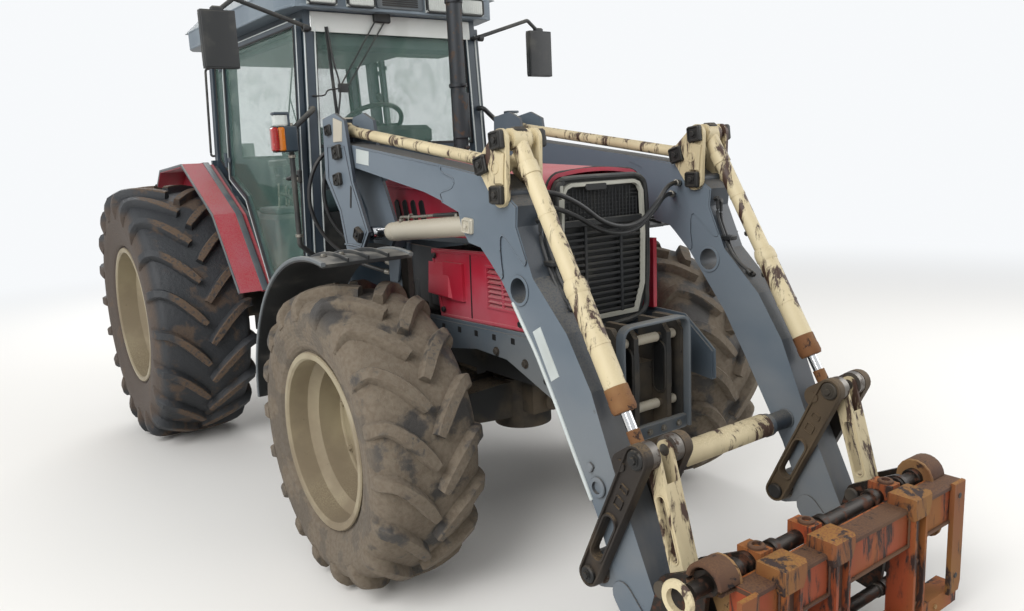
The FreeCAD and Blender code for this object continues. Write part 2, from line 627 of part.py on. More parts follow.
knee_hole = cross_bar(KNEE, PIN_R + PIN_CLEAR, cast_in_x - 1, cast_out_x + CAST_PLATE + 1)
cast_link = Part.makeCompound([
    fuse([cast_plate(cast_in_x), cross_bar(ROD_EYE, PIN_R, cast_in_x - 8, cast_in_x)]).cut(knee_hole),
    fuse([cast_plate(cast_out_x), cross_bar(ROD_EYE, PIN_R, cast_out_x, cast_out_x + CAST_PLATE + 8)]).cut(knee_hole),
])
add("cast_links", both(cast_link))
foot_pin = fuse([
    cross_bar(CAST_FOOT, PIN_R, cast_in_x - 8, cast_out_x + CAST_PLATE + 8),
    cross_bar(CAST_FOOT, FOOT_HUB_R, foot_low, foot_high),
])
add("cast_link_pins", both(foot_pin))

PUSH_HALF = 36
knee_in = fuse([
    cross_bar(KNEE, PIN_R, cast_in_x - 8, ARM_X - FORK_HALF),
    cross_bar(KNEE, KNEE_HUB_R, cast_in_x + CAST_PLATE + HUB_PLAY, ARM_X - PUSH_HALF - HUB_PLAY),
])
knee_out = fuse([
    cross_bar(KNEE, PIN_R, ARM_X + FORK_HALF, cast_out_x + CAST_PLATE + 8),
    cross_bar(KNEE, KNEE_HUB_R, ARM_X + PUSH_HALF + HUB_PLAY, cast_out_x - HUB_PLAY),
])
add("knee_pins", both(Part.makeCompound([knee_in, knee_out])))

FORK_DEPTH = 110
push = pinned(
    strap(KNEE, CARRIER_PIN, 32, 30, ARM_X - PUSH_HALF, ARM_X + PUSH_HALF).cut(
        strap(towards(KNEE, CARRIER_PIN, FORK_DEPTH + 40), towards(KNEE, CARRIER_PIN, 330), 16, 16,
              ARM_X - PUSH_HALF - 1, ARM_X + PUSH_HALF + 1)),
    eye(CARRIER_PIN, 32, ARM_X - PUSH_HALF, ARM_X + PUSH_HALF),
)
fork_gap = strap(towards(KNEE, CARRIER_PIN, -60), towards(KNEE, CARRIER_PIN, FORK_DEPTH - 45), 45, 45,
                 ARM_X - FORK_HALF, ARM_X + FORK_HALF)
push = push.cut(fork_gap).cut(cross_bar(KNEE, PIN_R + PIN_CLEAR, ARM_X - PUSH_HALF - 1, ARM_X + PUSH_HALF + 1))
add("push_links", both(push))

# Carrier frame at the arm ends and the tool frame hooked over its shaft

ear_in_x, ear_out_x = arm_low - 30, arm_high + 10
add("carrier_pins", fuse([
    cross_bar(CARRIER_PIVOT, PIN_R, -arm_high - 40, arm_high + 40),
    cross_bar(CARRIER_PIVOT, CROSS_SHAFT_R, HUB_PLAY - ear_in_x, ear_in_x - HUB_PLAY),
]))
EAR = 20
SHAFT_R = 26


def ear(x0):
    x1 = x0 + EAR
    plate = fuse([
        strap(CARRIER_PIVOT, CARRIER_PIN, 44, 36, x0, x1),
        strap(CARRIER_PIN, CARRIER_SHAFT, 36, 40, x0, x1),
        strap(CARRIER_PIVOT, CARRIER_TOE, 44, 30, x0, x1),
        side_plate([CARRIER_PIVOT, CARRIER_PIN, CARRIER_SHAFT, CARRIER_TOE], x0, x1),
    ])
    return plate.cut(cross_bar(CARRIER_PIVOT, PIN_R + PIN_CLEAR, x0 - 1, x1 + 1))


carrier = fuse([
    ear(ear_in_x), ear(ear_out_x), mirrored(ear(ear_in_x)), mirrored(ear(ear_out_x)),
    cross_bar(CARRIER_SHAFT, SHAFT_R, -690, 690),
    cross_bar(CARRIER_TOE, 24, -arm_high - 30, arm_high + 30),
])
add("carrier_frame", carrier)

TOOL_Y = -4470
TOOL_FACE = 85
POST_W = 80
beam_box = box(-560, 660, TOOL_Y - 80, TOOL_Y, 400, 545)
tool_parts = [beam_box]
for x in (-400, -145, 330):
    tool_parts.append(box(x - POST_W / 2, x + POST_W / 2, TOOL_Y - TOOL_FACE, TOOL_Y - 10, 40, 560))
    tool_parts.append(box(x - 30, x + 30, TOOL_Y - 10, CARRIER_SHAFT[0] + 36, 500, CARRIER_SHAFT[1] + 48))
tool_parts.append(box(-560, 660, TOOL_Y - TOOL_FACE, TOOL_Y - 10, 60, 130))
tool_frame = fuse(tool_parts)
tool_frame = tool_frame.cut(cross_bar(CARRIER_SHAFT, SHAFT_R + SEAT, -700, 700))
tool_frame = tool_frame.cut(box(-700, 700, CARRIER_SHAFT[0] - SHAFT_R - SEAT, CARRIER_SHAFT[0] + SHAFT_R + SEAT,
                                490, CARRIER_SHAFT[1]))
add("tool_frame", tool_frame)

# Exhaust stack

EXHAUST_X = 205
EXHAUST_Y = -2010
EXHAUST_R = 42
EXHAUST_TOP_Z = 2840
EXHAUST_KNEE = 240
EXHAUST_BEND = 85
stack = bent_tube([(EXHAUST_X, EXHAUST_Y - EXHAUST_KNEE, ENGINE_TOP_Z + SEAT),
                   (EXHAUST_X, EXHAUST_Y - EXHAUST_KNEE, ENGINE_TOP_Z + EXHAUST_KNEE / 2),
                   (EXHAUST_X, EXHAUST_Y, ENGINE_TOP_Z + EXHAUST_KNEE + 10),
                   (EXHAUST_X, EXHAUST_Y, EXHAUST_TOP_Z)], EXHAUST_BEND, EXHAUST_R)
add("exhaust_stack", stack)

# Hood, grille and side panels


def hood_section(y, half, top, shrink=0.0):
    """Upside-down U with round shoulders, closed at its foot."""
    half, top, foot = half - shrink, top - shrink, HOOD_FOOT_Z - (1 if shrink else 0)
    r = HOOD_SHOULDER_R - shrink
    c = r * (1 - math.sqrt(0.5))
    left = [V(-half, y, foot), V(-half, y, top - r), V(-half + c, y, top - c), V(-half + r, y, top)]
    right = [V(-p.x, y, p.z) for p in reversed(left)]
    crown = V(0, y, top + 14)
    return Part.Wire([
        Part.LineSegment(left[0], left[1]).toShape(),
        Part.Arc(*left[1:]).toShape(),
        Part.Arc(left[3], crown, right[0]).toShape(),
        Part.Arc(*right[:3]).toShape(),
        Part.LineSegment(right[2], right[3]).toShape(),
        Part.LineSegment(right[3], left[0]).toShape(),
    ])


def hood_loft(shrink, overrun):
    return Part.makeLoft([
        hood_section(HOOD_FRONT_Y - overrun, HOOD_NOSE_HALF, HOOD_NOSE_TOP, shrink),
        hood_section(HOOD_REAR_Y + overrun, HOOD_TAIL_HALF, HOOD_TAIL_TOP, shrink),
    ], True, True)


hood = hood_loft(0.0, 0.0).cut(hood_loft(HOOD_WALL, 1.0))
COWL_CUT = [(HOOD_REAR_Y - 5, HOOD_TAIL_TOP + 60), (HOOD_REAR_Y + 60, HOOD_TAIL_TOP + 60),
            (HOOD_REAR_Y + 60, HOOD_FOOT_Z - 10), (HOOD_REAR_Y - 160, HOOD_FOOT_Z - 10)]
hood = hood.cut(side_plate(COWL_CUT, -400, 400))
hood = hood.cut(bar((EXHAUST_X, EXHAUST_Y, 1600), (EXHAUST_X, EXHAUST_Y, 1900), EXHAUST_R + RUN))
add("hood", hood)

COWL_FRONT_Y = -2090
COWL_WALL = 12
COWL_PART = (COWL_FRONT_Y - HOOD_FRONT_Y) / (HOOD_REAR_Y - HOOD_FRONT_Y)
COWL_HALF = HOOD_NOSE_HALF + (HOOD_TAIL_HALF - HOOD_NOSE_HALF) * COWL_PART
COWL_TOP = HOOD_NOSE_TOP + (HOOD_TAIL_TOP - HOOD_NOSE_TOP) * COWL_PART


def cowl_block(front_y, shrink):
    ring = hood_section(front_y, COWL_HALF, COWL_TOP, HOOD_WALL + SEAT + shrink)
    return Part.Face(ring).extrude(V(0, CAB_FRONT_Y - SEAT - front_y, 0))


cowl = cowl_block(COWL_FRONT_Y, 0).cut(cowl_block(COWL_FRONT_Y - 1, COWL_WALL).translated(V(0, 0, -2)))
cowl = cowl.cut(bar((EXHAUST_X, EXHAUST_Y, 1600), (EXHAUST_X, EXHAUST_Y, 1900), EXHAUST_R + RUN))
add("cowl", cowl)

GRILLE_HALF = [(HOOD_NOSE_HALF - 85, HOOD_NOSE_TOP - 15), (HOOD_NOSE_HALF - 38, HOOD_NOSE_TOP - 32),
               (HOOD_NOSE_HALF - 8, HOOD_NOSE_TOP - 85), (HOOD_NOSE_HALF, HOOD_NOSE_TOP - 265),
               (HOOD_NOSE_HALF - 7, HOOD_NOSE_TOP - 500), (HOOD_NOSE_HALF - 60, HOOD_NOSE_TOP - 645)]
DIVIDER_HALF = HOOD_NOSE_HALF - 5
DIVIDER_TOP = 1520
DIVIDER_FOOT = DIVIDER_TOP - 25
grille_outline = GRILLE_HALF + [(-x, z) for x, z in reversed(GRILLE_HALF)]
screen_outline = [(x * 0.88, 1392 + (z - 1392) * 0.91) for x, z in grille_outline]
grille_y = HOOD_FRONT_Y - SEAT
grille = front_plate(grille_outline, grille_y - 36, grille_y)
grille = grille.cut(front_plate(screen_outline, grille_y - 40, grille_y + 2))
screen = front_plate(screen_outline, grille_y - 16, grille_y - 4)
divider = front_plate([(-DIVIDER_HALF, DIVIDER_TOP), (DIVIDER_HALF, DIVIDER_TOP), (DIVIDER_HALF, DIVIDER_FOOT),
                       (-DIVIDER_HALF, DIVIDER_FOOT)], grille_y - 28, grille_y - 4)
add("grille", fuse([grille, screen, divider]))

PANEL_OUTLINE = [(-2585, 1380), (-3314, 1400), (-3312, 1084), (-2647, 1066)]
LOUVRE = (-3250, -3040, 1160, 1330)
panel = side_plate(PANEL_OUTLINE, PANEL_X - PANEL_WALL, PANEL_X)
panel = panel.cut(box(PANEL_X - PANEL_WALL - 1, PANEL_X + 1, *LOUVRE))
slats = [box(PANEL_X - PANEL_WALL + 4, PANEL_X - 4, LOUVRE[0] - 1, LOUVRE[1] + 1, z, z + 14) for z in (1190, 1238, 1286)]
boss = box(PANEL_X - 2, PANEL_X + 14, -2860, -2700, 1160, 1330)
feet = [box(ENGINE_HALF + SEAT, PANEL_X - PANEL_WALL, y, y + 30, 1150, 1260) for y in (-3020, -2700)]
add("side_panels", both(fuse([panel, boss] + slats + feet)))

# Cab: floor, walls, posts and roof frame

FLOOR_LOW_Z = CASE_TOP_Z + SEAT


def post_x(z):
    """Centre of a post across the cab, which leans inwards behind the door's inner face."""
    return CAB_FOOT_HALF - DOOR_THICK - RUN - POST / 2 - (z - CAB_FLOOR_Z) * math.tan(math.radians(CAB_LEAN))


wall_outline = [(-1020, FLOOR_LOW_Z), (-1020, CAB_FLOOR_Z), (-690, 1490), (-400, 1650), (CAB_REAR_Y, 1830),
                (CAB_REAR_Y, FLOOR_LOW_Z)]
HINGE_OUT = 6
HINGE_BACK = 16
HINGE_R = 12
HINGE_PIN_R = 5
HINGE_LEAF = 30
HINGES_Z = (1800, 2400)


def in_side_plane(shape):
    """Place a piece drawn at x = 0 in the cab's leaning side plane."""
    placed = shape.copy()
    placed.rotate(V(0, 0, CAB_FLOOR_Z), V(0, 1, 0), -CAB_LEAN)
    placed.translate(V(CAB_FOOT_HALF, 0, 0))
    return placed


def hinge_knuckle(z, height, radius):
    y = DOOR_HINGE_Y + HINGE_BACK
    return bar((HINGE_OUT, y, z), (HINGE_OUT, y, z + height), radius)


hinge_blocks = []
for z in HINGES_Z:
    hinge_blocks.append(hinge_knuckle(z, 3 * HINGE_LEAF, HINGE_PIN_R))
    for low in (z, z + 2 * HINGE_LEAF):
        hinge_blocks.append(hinge_knuckle(low, HINGE_LEAF, HINGE_R))
        hinge_blocks.append(box(-DOOR_THICK - RUN - 10, HINGE_OUT, DOOR_HINGE_Y + 7, DOOR_HINGE_Y + 26, low, low + HINGE_LEAF))
posts = [in_side_plane(fuse(hinge_blocks))]
for y in (CAB_FRONT_Y + POST / 2, DOOR_HINGE_Y + POST / 2 + 4, CAB_REAR_Y - POST / 2):
    foot_z = FLOOR_LOW_Z if y < -1000 else 1500
    posts.append(post((post_x(foot_z), y, foot_z), (post_x(CAB_TOP_Z - 30), y, CAB_TOP_Z - 30), POST, POST))
side_walls = [side_plate(wall_outline, CAB_SIDE_X - 30, CAB_SIDE_X)]
floor = box(-CAB_SIDE_X, CAB_SIDE_X, CAB_FRONT_Y, CAB_REAR_Y, FLOOR_LOW_Z, CAB_FLOOR_Z)
firewall = box(-380, 380, CAB_FRONT_Y, CAB_FRONT_Y + 30, CAB_FLOOR_Z, 1880)
rear_wall = box(-CAB_SIDE_X, CAB_SIDE_X, CAB_REAR_Y - 30, CAB_REAR_Y, CAB_FLOOR_Z, 1850)
top_half = post_x(CAB_TOP_Z) + POST / 2
top_ring = box(-top_half, top_half, CAB_FRONT_Y, CAB_REAR_Y, CAB_TOP_Z - 70, CAB_TOP_Z)
top_ring = top_ring.cut(box(-top_half + POST, top_half - POST, CAB_FRONT_Y + POST, CAB_REAR_Y - POST,
                            CAB_TOP_Z - 80, CAB_TOP_Z + 10))
cab_parts = [floor, firewall, rear_wall, top_ring] + posts + side_walls
cab_parts += [mirrored(shape) for shape in posts + side_walls]
add("cab_frame", fuse(cab_parts))

roof_low = floor_plate([(-640, -1600), (-600, -1790), (600, -1790), (640, -1600), (640, -60), (600, 20),
                        (-600, 20), (-640, -60)], CAB_TOP_Z + SEAT, CAB_TOP_Z + 110)
roof_rings = []
for z, half, y0, y1 in ((CAB_TOP_Z + 110, 640, -1790, 20), (ROOF_Z, 540, -1600, -120)):
    corners = [V(-half, y0, z), V(half, y0, z), V(half, y1, z), V(-half, y1, z)]
    roof_rings.append(Part.makePolygon(corners + corners[:1]))
add("cab_roof", fuse([roof_low, Part.makeLoft(roof_rings, True, True)]))


DOOR_OUTLINE = [(CAB_FRONT_Y + 20, CAB_FLOOR_Z - 30), (CAB_FRONT_Y + 20, CAB_TOP_Z - 40),
                (DOOR_HINGE_Y, CAB_TOP_Z - 40), (DOOR_HINGE_Y, 1720), (-760, 1590), (-1100, CAB_FLOOR_Z - 30)]


def inset(outline, distance):
    """Outline moved inwards by a distance."""
    wire = Part.makePolygon([V(0, y, z) for y, z in outline + outline[:1]])
    smaller = Part.Face(wire).makeOffset2D(-distance, 2, False, False, False)
    return smaller.Wires[0]


def sheet_of(wire, x0, x1):
    return Part.Face(wire).translated(V(x0, 0, 0)).extrude(V(x1 - x0, 0, 0))


door = side_plate(DOOR_OUTLINE, -DOOR_THICK, 0).cut(sheet_of(inset(DOOR_OUTLINE, DOOR_RIM), -DOOR_THICK - 1, 1))
pane = sheet_of(inset(DOOR_OUTLINE, DOOR_RIM + SEAT), -DOOR_THICK / 2 - GLASS / 2, -DOOR_THICK / 2 + GLASS / 2)
door_leaves = []
for z in HINGES_Z:
    low = z + HINGE_LEAF + SEAT
    height = HINGE_LEAF - 2 * SEAT
    door_leaves.append(hinge_knuckle(low, height, HINGE_R))
    door_leaves.append(box(0, HINGE_OUT, DOOR_HINGE_Y - 60, DOOR_HINGE_Y + HINGE_BACK, low, low + height))
door = fuse([door] + door_leaves)
for z in HINGES_Z:
    door = door.cut(hinge_knuckle(z, 3 * HINGE_LEAF, HINGE_PIN_R + PIN_CLEAR))
for_sides("door_frame", in_side_plane(door))
for_sides("door_glass", in_side_plane(pane))

glass_parts = []
quarter_y0, quarter_y1 = DOOR_HINGE_Y + POST + 4 + SEAT, CAB_REAR_Y - POST - SEAT
quarter = side_plate([(quarter_y0, 1720), (quarter_y1, 1850), (quarter_y1, CAB_TOP_Z - 75),
                      (quarter_y0, CAB_TOP_Z - 75)], -DOOR_THICK - 30, -DOOR_THICK - 24)
glass_parts += [in_side_plane(quarter), mirrored(in_side_plane(quarter))]
RING_LOW_Z = CAB_TOP_Z - 70
for y, low_z in ((CAB_FRONT_Y + 20, 1880), (CAB_REAR_Y - 20 - GLASS, 1850)):
    foot, top = post_x(low_z) - POST / 2 - SEAT, post_x(RING_LOW_Z) - POST / 2 - SEAT
    glass_parts.append(front_plate([(-foot, low_z + SEAT), (foot, low_z + SEAT), (top, RING_LOW_Z - SEAT),
                                    (-top, RING_LOW_Z - SEAT)], y, y + GLASS))
add("cab_glass", Part.makeCompound(glass_parts))

# Rear fenders

FENDER_WALL = 22
SKIRT_OUT_X = REAR_X - REAR_TYRE_W / 2 - 2 * RUN
STRIP_OUT_X = 800


def round_axle(angle, radius):
    """Point (y, z) at an angle from +Y and a radius from the rear axle."""
    turn = math.radians(angle)
    return (radius * math.cos(turn), REAR_TYRE_R + radius * math.sin(turn))


# Angle and clearance over the tyre of each corner of the fender's top, from its front end
FENDER_SPOTS = [(168.8, 231), (136.4, 113), (97.5, 143), (64.7, 201), (51.0, 167)]
FENDER_TOP = [round_axle(angle, REAR_TYRE_R + clear) for angle, clear in FENDER_SPOTS]
fender_low = [round_axle(angle, REAR_TYRE_R + clear - FENDER_WALL) for angle, clear in reversed(FENDER_SPOTS)]
strip = side_plate(FENDER_TOP + fender_low, SKIRT_OUT_X - 2, STRIP_OUT_X)
skirt_top = [round_axle(angle, REAR_TYRE_R + clear - 12) for angle, clear in FENDER_SPOTS]
skirt_low = [round_axle(angle, REAR_TYRE_R + clear - 140) for angle, clear in reversed(FENDER_SPOTS[:-1])]
skirt_end = [round_axle(54, REAR_TYRE_R + 30)]
skirt = side_plate(skirt_top + skirt_end + skirt_low, CAB_SIDE_X + SEAT, SKIRT_OUT_X)
add("rear_fenders", both(fuse([strip, skirt])))
fender_end_y, fender_end_z = FENDER_TOP[-1]

# Steps and fuel tank

tank = box(CASE_HALF + 20, 410, -1600, -960, 600, FLOOR_LOW_Z - SEAT)
ladder = []
for z in (430, 700, 960):
    ladder.append(box(420, 700, -1640, -1300, z, z + 28))
for x in (420, 688):
    ladder.append(box(x, x + 12, -1640, -1300, 430, FLOOR_LOW_Z - SEAT))
ladder = fuse(ladder)
add("cab_steps", Part.makeCompound([ladder, mirrored(ladder), tank]))

# Cab interior, seat and steering wheel

WHEEL_CENTRE = V(0, -1350, 2010)
WHEEL_TILT = math.radians(35)
WHEEL_AXIS = V(0, math.sin(WHEEL_TILT), math.cos(WHEEL_TILT))
COLUMN_TOP = 150
column_start = WHEEL_CENTRE - WHEEL_AXIS * (COLUMN_TOP + SEAT)
column_end = WHEEL_CENTRE - WHEEL_AXIS * 480
interior = Part.makeCompound([
    box(-240, 240, -880, -380, CAB_FLOOR_Z + SEAT, 1480),
    fuse([
        box(-180, 180, CAB_FRONT_Y + 31, CAB_FRONT_Y + 230, CAB_FLOOR_Z + SEAT, 1930),
        bar(tuple(column_start), tuple(column_end), 34),
    ]),
])
add("cab_interior", interior)
seat = fuse([box(-250, 250, -900, -400, 1480 + SEAT, 1610), box(-240, 240, -480, -370, 1600, 2080)])
add("seat_pads", seat)
wheel = Part.makeTorus(190, 14, V(0, 0, 0), V(0, 0, 1))
spokes = [Part.makeBox(380, 26, 10, V(-190, -13, -8)), Part.makeCylinder(36, 30, V(0, 0, -20)),
          Part.makeCylinder(16, COLUMN_TOP - 10, V(0, 0, -COLUMN_TOP))]
wheel = fuse([wheel] + spokes)
wheel.rotate(V(0, 0, 0), V(1, 0, 0), -math.degrees(WHEEL_TILT))
wheel.translate(WHEEL_CENTRE)
add("steering_wheel", wheel)

# Mirrors, rails and lamps

mirror_head = box(905, 1071, -1775, -1735, 2270, 2540)
mirror_arm = bent_tube([(515, CAB_FRONT_Y - SEAT, 2480), (515, -1760, 2480), (900, -1760, 2600), (985, -1760, 2535)],
                       20, 11)
add("mirrors", both(fuse([mirror_head, mirror_arm])))
rail = bent_tube([(535, CAB_FRONT_Y - SEAT, 2080), (535, -1765, 2080), (680, -1765, 1960), (680, -1765, 1380),
                  (570, -1765, 1280), (570, CAB_FRONT_Y - SEAT, 1280)], 22, 14)
lamp = box(660, 780, -1800, -1770, 1860, 1990)
add("grab_rails", both(fuse([rail, lamp])))

LAMP_GAP = SEAT
lamps = []
for x in (-460, -240, 240, 460):
    lamps.append(box(x - 80, x + 80, -1812, -1790 - SEAT, CAB_TOP_Z + 15, CAB_TOP_Z + 105))
for side in (-1, 1):
    x0, x1 = sorted((side * (SKIRT_OUT_X + 20), side * (STRIP_OUT_X - 10)))
    y0, z1 = fender_end_y + LAMP_GAP, fender_end_z - 5
    lamps.append(box(x0, x1, y0, y0 + 40, z1 - 75, z1))
add("work_lamps", Part.makeCompound(lamps))

# Hoses across the arms and beside the mast

for name, route in (("arm_hose_upper", ARM_HOSE_UPPER), ("arm_hose_lower", ARM_HOSE_LOWER),
                    ("mast_hose_outer", MAST_HOSE_OUTER), ("mast_hose_inner", MAST_HOSE_INNER)):
    add(name, hose_tube(name, route))

# Rear linkage and drawbar

LOWER_PIVOT = (200, 520)
LOWER_END = (1120, 470)
ROCK_PIVOT = (180, 1150)
ROCK_END = (433, 1058)
LINK_X = 350
LOWER_HUB_R = 24
LINK_END_R = 50
ROD_SPOT = towards(LOWER_PIVOT, LOWER_END, 400)
ROCK_HOUSE_TOP = 1215
rear_hitch = fuse([
    box(-60, 60, -200, 700, 430, 480),
    box(-230, 230, 100, 300, 480, CASE_LOW_Z - SEAT),
    cross_bar(LOWER_PIVOT, LOWER_HUB_R, -420, 420),
])
HITCH_BORE_R = 18
rear_hitch = rear_hitch.cut(bar((0, 650, 400), (0, 650, 520), HITCH_BORE_R))
add("rear_hitch", rear_hitch)
lower = pinned(
    strap(LOWER_PIVOT, LOWER_END, 42, 42, LINK_X - 20, LINK_X + 20),
    (cross_bar(LOWER_PIVOT, 44, LINK_X - 24, LINK_X + 24),
     cross_bar(LOWER_PIVOT, LOWER_HUB_R + PIN_CLEAR, 300, 400)),
    (cross_bar(LOWER_END, LINK_END_R, LINK_X - 28, LINK_X + 28), cross_bar(LOWER_END, 14.2, 300, 400)),
)
lower = fuse([lower, cross_bar(ROD_SPOT, 12, LINK_X, LINK_X + 60)])
add("lower_links", both(lower))

rock_house = box(-200, 200, 80, 280, CASE_TOP_Z, ROCK_HOUSE_TOP)
case = fuse([case, rock_house]).cut(cross_bar(ROCK_PIVOT, 40 + PIN_CLEAR, -210, 210))
add("drive_housing", case)
rock_arm_x = (LINK_X - 20, LINK_X + 10)
rock_arm = fuse([
    cross_bar(ROCK_PIVOT, 40, -rock_arm_x[1], rock_arm_x[1]),
    strap(ROCK_PIVOT, ROCK_END, 60, 34, *rock_arm_x),
    mirrored(strap(ROCK_PIVOT, ROCK_END, 60, 34, *rock_arm_x)),
    cross_bar(ROCK_END, 12, rock_arm_x[0], LINK_X + 60),
    mirrored(cross_bar(ROCK_END, 12, rock_arm_x[0], LINK_X + 60)),
])
add("rock_arms", rock_arm)
hanger_x = (LINK_X + 32, LINK_X + 56)
hanger = fuse([
    bar((hanger_x[0] + 12, *ROCK_END), (hanger_x[0] + 12, *ROD_SPOT), 12),
    cross_bar(ROCK_END, 28, *hanger_x),
    cross_bar(ROD_SPOT, 34, *hanger_x),
])
hanger = hanger.cut(cross_bar(ROCK_END, 12 + PIN_CLEAR, hanger_x[0] - 1, hanger_x[1] + 1))
hanger = hanger.cut(cross_bar(ROD_SPOT, 24, hanger_x[0] - 1, hanger_x[1] + 1))
add("lift_hangers", both(hanger))

# The machine reaches from the tool frame's face to the lower links' ends
MID_SHIFT = -((TOOL_Y - TOOL_FACE) + (LOWER_END[0] + LINK_END_R)) / 2

for name, shape in NODES.items():
    if not shape.isValid():
        print("not valid:", name)

os.makedirs("parts", exist_ok=True)
for name, shape in NODES.items():
    shape.translated(V(0, MID_SHIFT, 0)).exportStep("parts/" + name + ".step")
print(len(NODES), "pieces written")
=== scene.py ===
"""Farm tractor with a front loader: surfaces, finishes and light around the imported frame.

Lengths are metres in the frame's own axes. Places along the tractor are given
from the rear axle and moved by AXLE_Y, which the rear wheel's joint gives.
"""

import json
import logging
import math
from dataclasses import dataclass, field
from enum import Enum

import bmesh
import bpy
import numpy as np
from mathutils import Matrix, Vector


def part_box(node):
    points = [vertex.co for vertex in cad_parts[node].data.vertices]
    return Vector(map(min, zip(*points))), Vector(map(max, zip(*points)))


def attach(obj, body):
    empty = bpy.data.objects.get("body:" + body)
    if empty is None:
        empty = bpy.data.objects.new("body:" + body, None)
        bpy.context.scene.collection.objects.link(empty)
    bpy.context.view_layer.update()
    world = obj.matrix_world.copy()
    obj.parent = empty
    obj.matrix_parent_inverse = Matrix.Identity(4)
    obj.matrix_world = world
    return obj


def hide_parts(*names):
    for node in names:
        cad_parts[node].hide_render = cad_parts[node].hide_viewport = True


LOG = logging.getLogger("tractor")
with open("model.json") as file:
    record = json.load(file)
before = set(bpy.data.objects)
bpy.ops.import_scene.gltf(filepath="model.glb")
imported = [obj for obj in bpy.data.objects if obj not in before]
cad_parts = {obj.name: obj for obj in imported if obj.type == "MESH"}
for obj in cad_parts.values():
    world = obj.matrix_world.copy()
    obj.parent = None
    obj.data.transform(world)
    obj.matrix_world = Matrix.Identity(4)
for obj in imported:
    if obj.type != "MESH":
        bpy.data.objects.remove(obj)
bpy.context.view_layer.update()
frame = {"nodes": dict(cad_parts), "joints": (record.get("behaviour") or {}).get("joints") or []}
JOINTS = {joint["name"]: joint for joint in frame["joints"]}
AXLE_Y = JOINTS["rear_wheel_left_spin"]["pos_m"][1]
SHARP = math.radians(32)
Floats = np.ndarray
HANDS = (1, -1)
SIDES = ((1, "left"), (-1, "right"))


class Grain(Enum):
    """Which way the marks on a finish run."""

    EVEN = (1.0, 1.0, 1.0)
    UPRIGHT = (1.0, 1.0, 0.25)
    LENGTHWISE = (1.0, 0.3, 0.5)


# Finishes


def linear(code: str) -> tuple[float, float, float, float]:
    """Linear colour with alpha 1 of an sRGB hex code."""
    part = np.array([int(code[i:i + 2], 16) for i in (1, 3, 5)]) / 255
    value = np.where(part <= 0.04045, part / 12.92, ((part + 0.055) / 1.055) ** 2.4)
    return (*value.tolist(), 1.0)


Socket = bpy.types.NodeSocket
Value = Socket | float


class Graph:
    """Shader nodes of one tree, with the joins of values that the finishes share."""

    def __init__(self, tree: bpy.types.NodeTree) -> None:
        """Take a tree and empty it."""
        tree.nodes.clear()
        self.tree = tree

    def add(self, kind: str, inputs: dict | None = None, **settings: str) -> bpy.types.NodeOutputs:
        """Add a shader node.

        Args:
            kind: Blender's type name after "ShaderNode".
            inputs: Socket name or number to a value or to a socket that is linked.
            settings: Attributes to set on the node.

        Returns:
            The node's outputs.
        """
        made = self.tree.nodes.new("ShaderNode" + kind)
        for key, value in settings.items():
            setattr(made, key, value)
        for key, value in (inputs or {}).items():
            if isinstance(value, Socket):
                self.tree.links.new(value, made.inputs[key])
            else:
                made.inputs[key].default_value = value
        return made.outputs

    def place(self) -> Socket:
        """Object coordinates."""
        return self.add("TexCoord")["Object"]

    def facing(self) -> bpy.types.NodeOutputs:
        """The surface normal's parts."""
        return self.add("SeparateXYZ", {0: self.add("NewGeometry")["Normal"]})

    def noise(self, vector: Socket, scale: float, detail: float, **more: float) -> Socket:
        """Fractal noise, with Roughness or Distortion as more."""
        return self.add("TexNoise", {"Vector": vector, "Scale": scale, "Detail": detail, **more})[0]

    def math(self, operation: str, *values: Value) -> Socket:
        """Result of a maths node on up to three values."""
        return self.add("Math", dict(enumerate(values)), operation=operation)[0]

    def times(self, first: Value, second: Value) -> Socket:
        """First value times the second."""
        return self.math("MULTIPLY", first, second)

    def larger(self, first: Value, second: Value) -> Socket:
        """The larger of two values."""
        return self.math("MAXIMUM", first, second)

    def step(self, value: Socket, low: float, high: float, top: float = 1.0) -> Socket:
        """Smooth step of a value from 0 at low to top at high."""
        return self.add("MapRange", {"Value": value, "From Min": low, "From Max": high, "To Max": top},
                        interpolation_type="SMOOTHSTEP")["Result"]

    def ramp(self, value: Socket, start: float, end: float) -> Socket:
        """Straight run from start to end as a value goes from 0 to 1."""
        return self.add("MapRange", {"Value": value, "To Min": start, "To Max": end})[0]

    def mix(self, share: Value, *colours: Socket | str) -> Socket:
        """Colour that goes from the first to the second as share goes from 0 to 1."""
        first, second = (linear(colour) if isinstance(colour, str) else colour for colour in colours)
        return self.add("MixRGB", {"Fac": share, "Color1": first, "Color2": second})[0]

    def bump(self, height: Socket, distance: float, strength: float) -> Socket:
        """Normal of a surface that rises by a height."""
        return self.add("Bump", {"Height": height, "Distance": distance, "Strength": strength})[0]

    def close(self, colour: Socket, rough: Value, more: dict) -> None:
        """End the tree in a Principled shader with a base colour, a roughness and more inputs."""
        shader = self.add("BsdfPrincipled", {"Base Color": colour, "Roughness": rough, **more})
        self.add("OutputMaterial", {"Surface": shader[0]})


@dataclass(frozen=True)
class Coating:
    """A finish: its material's name and the record's slot that it usually stands for."""

    name: str
    slot: str

    def material(self) -> bpy.types.Material:
        """Return the material, built once."""
        made = bpy.data.materials.get(self.name)
        if not made:
            made = bpy.data.materials.new(self.name)
            made.use_nodes = True
            self.wire(Graph(made.node_tree))
        return made

    def wire(self, graph: Graph) -> None:
        """Fill the material's node tree."""
        raise NotImplementedError


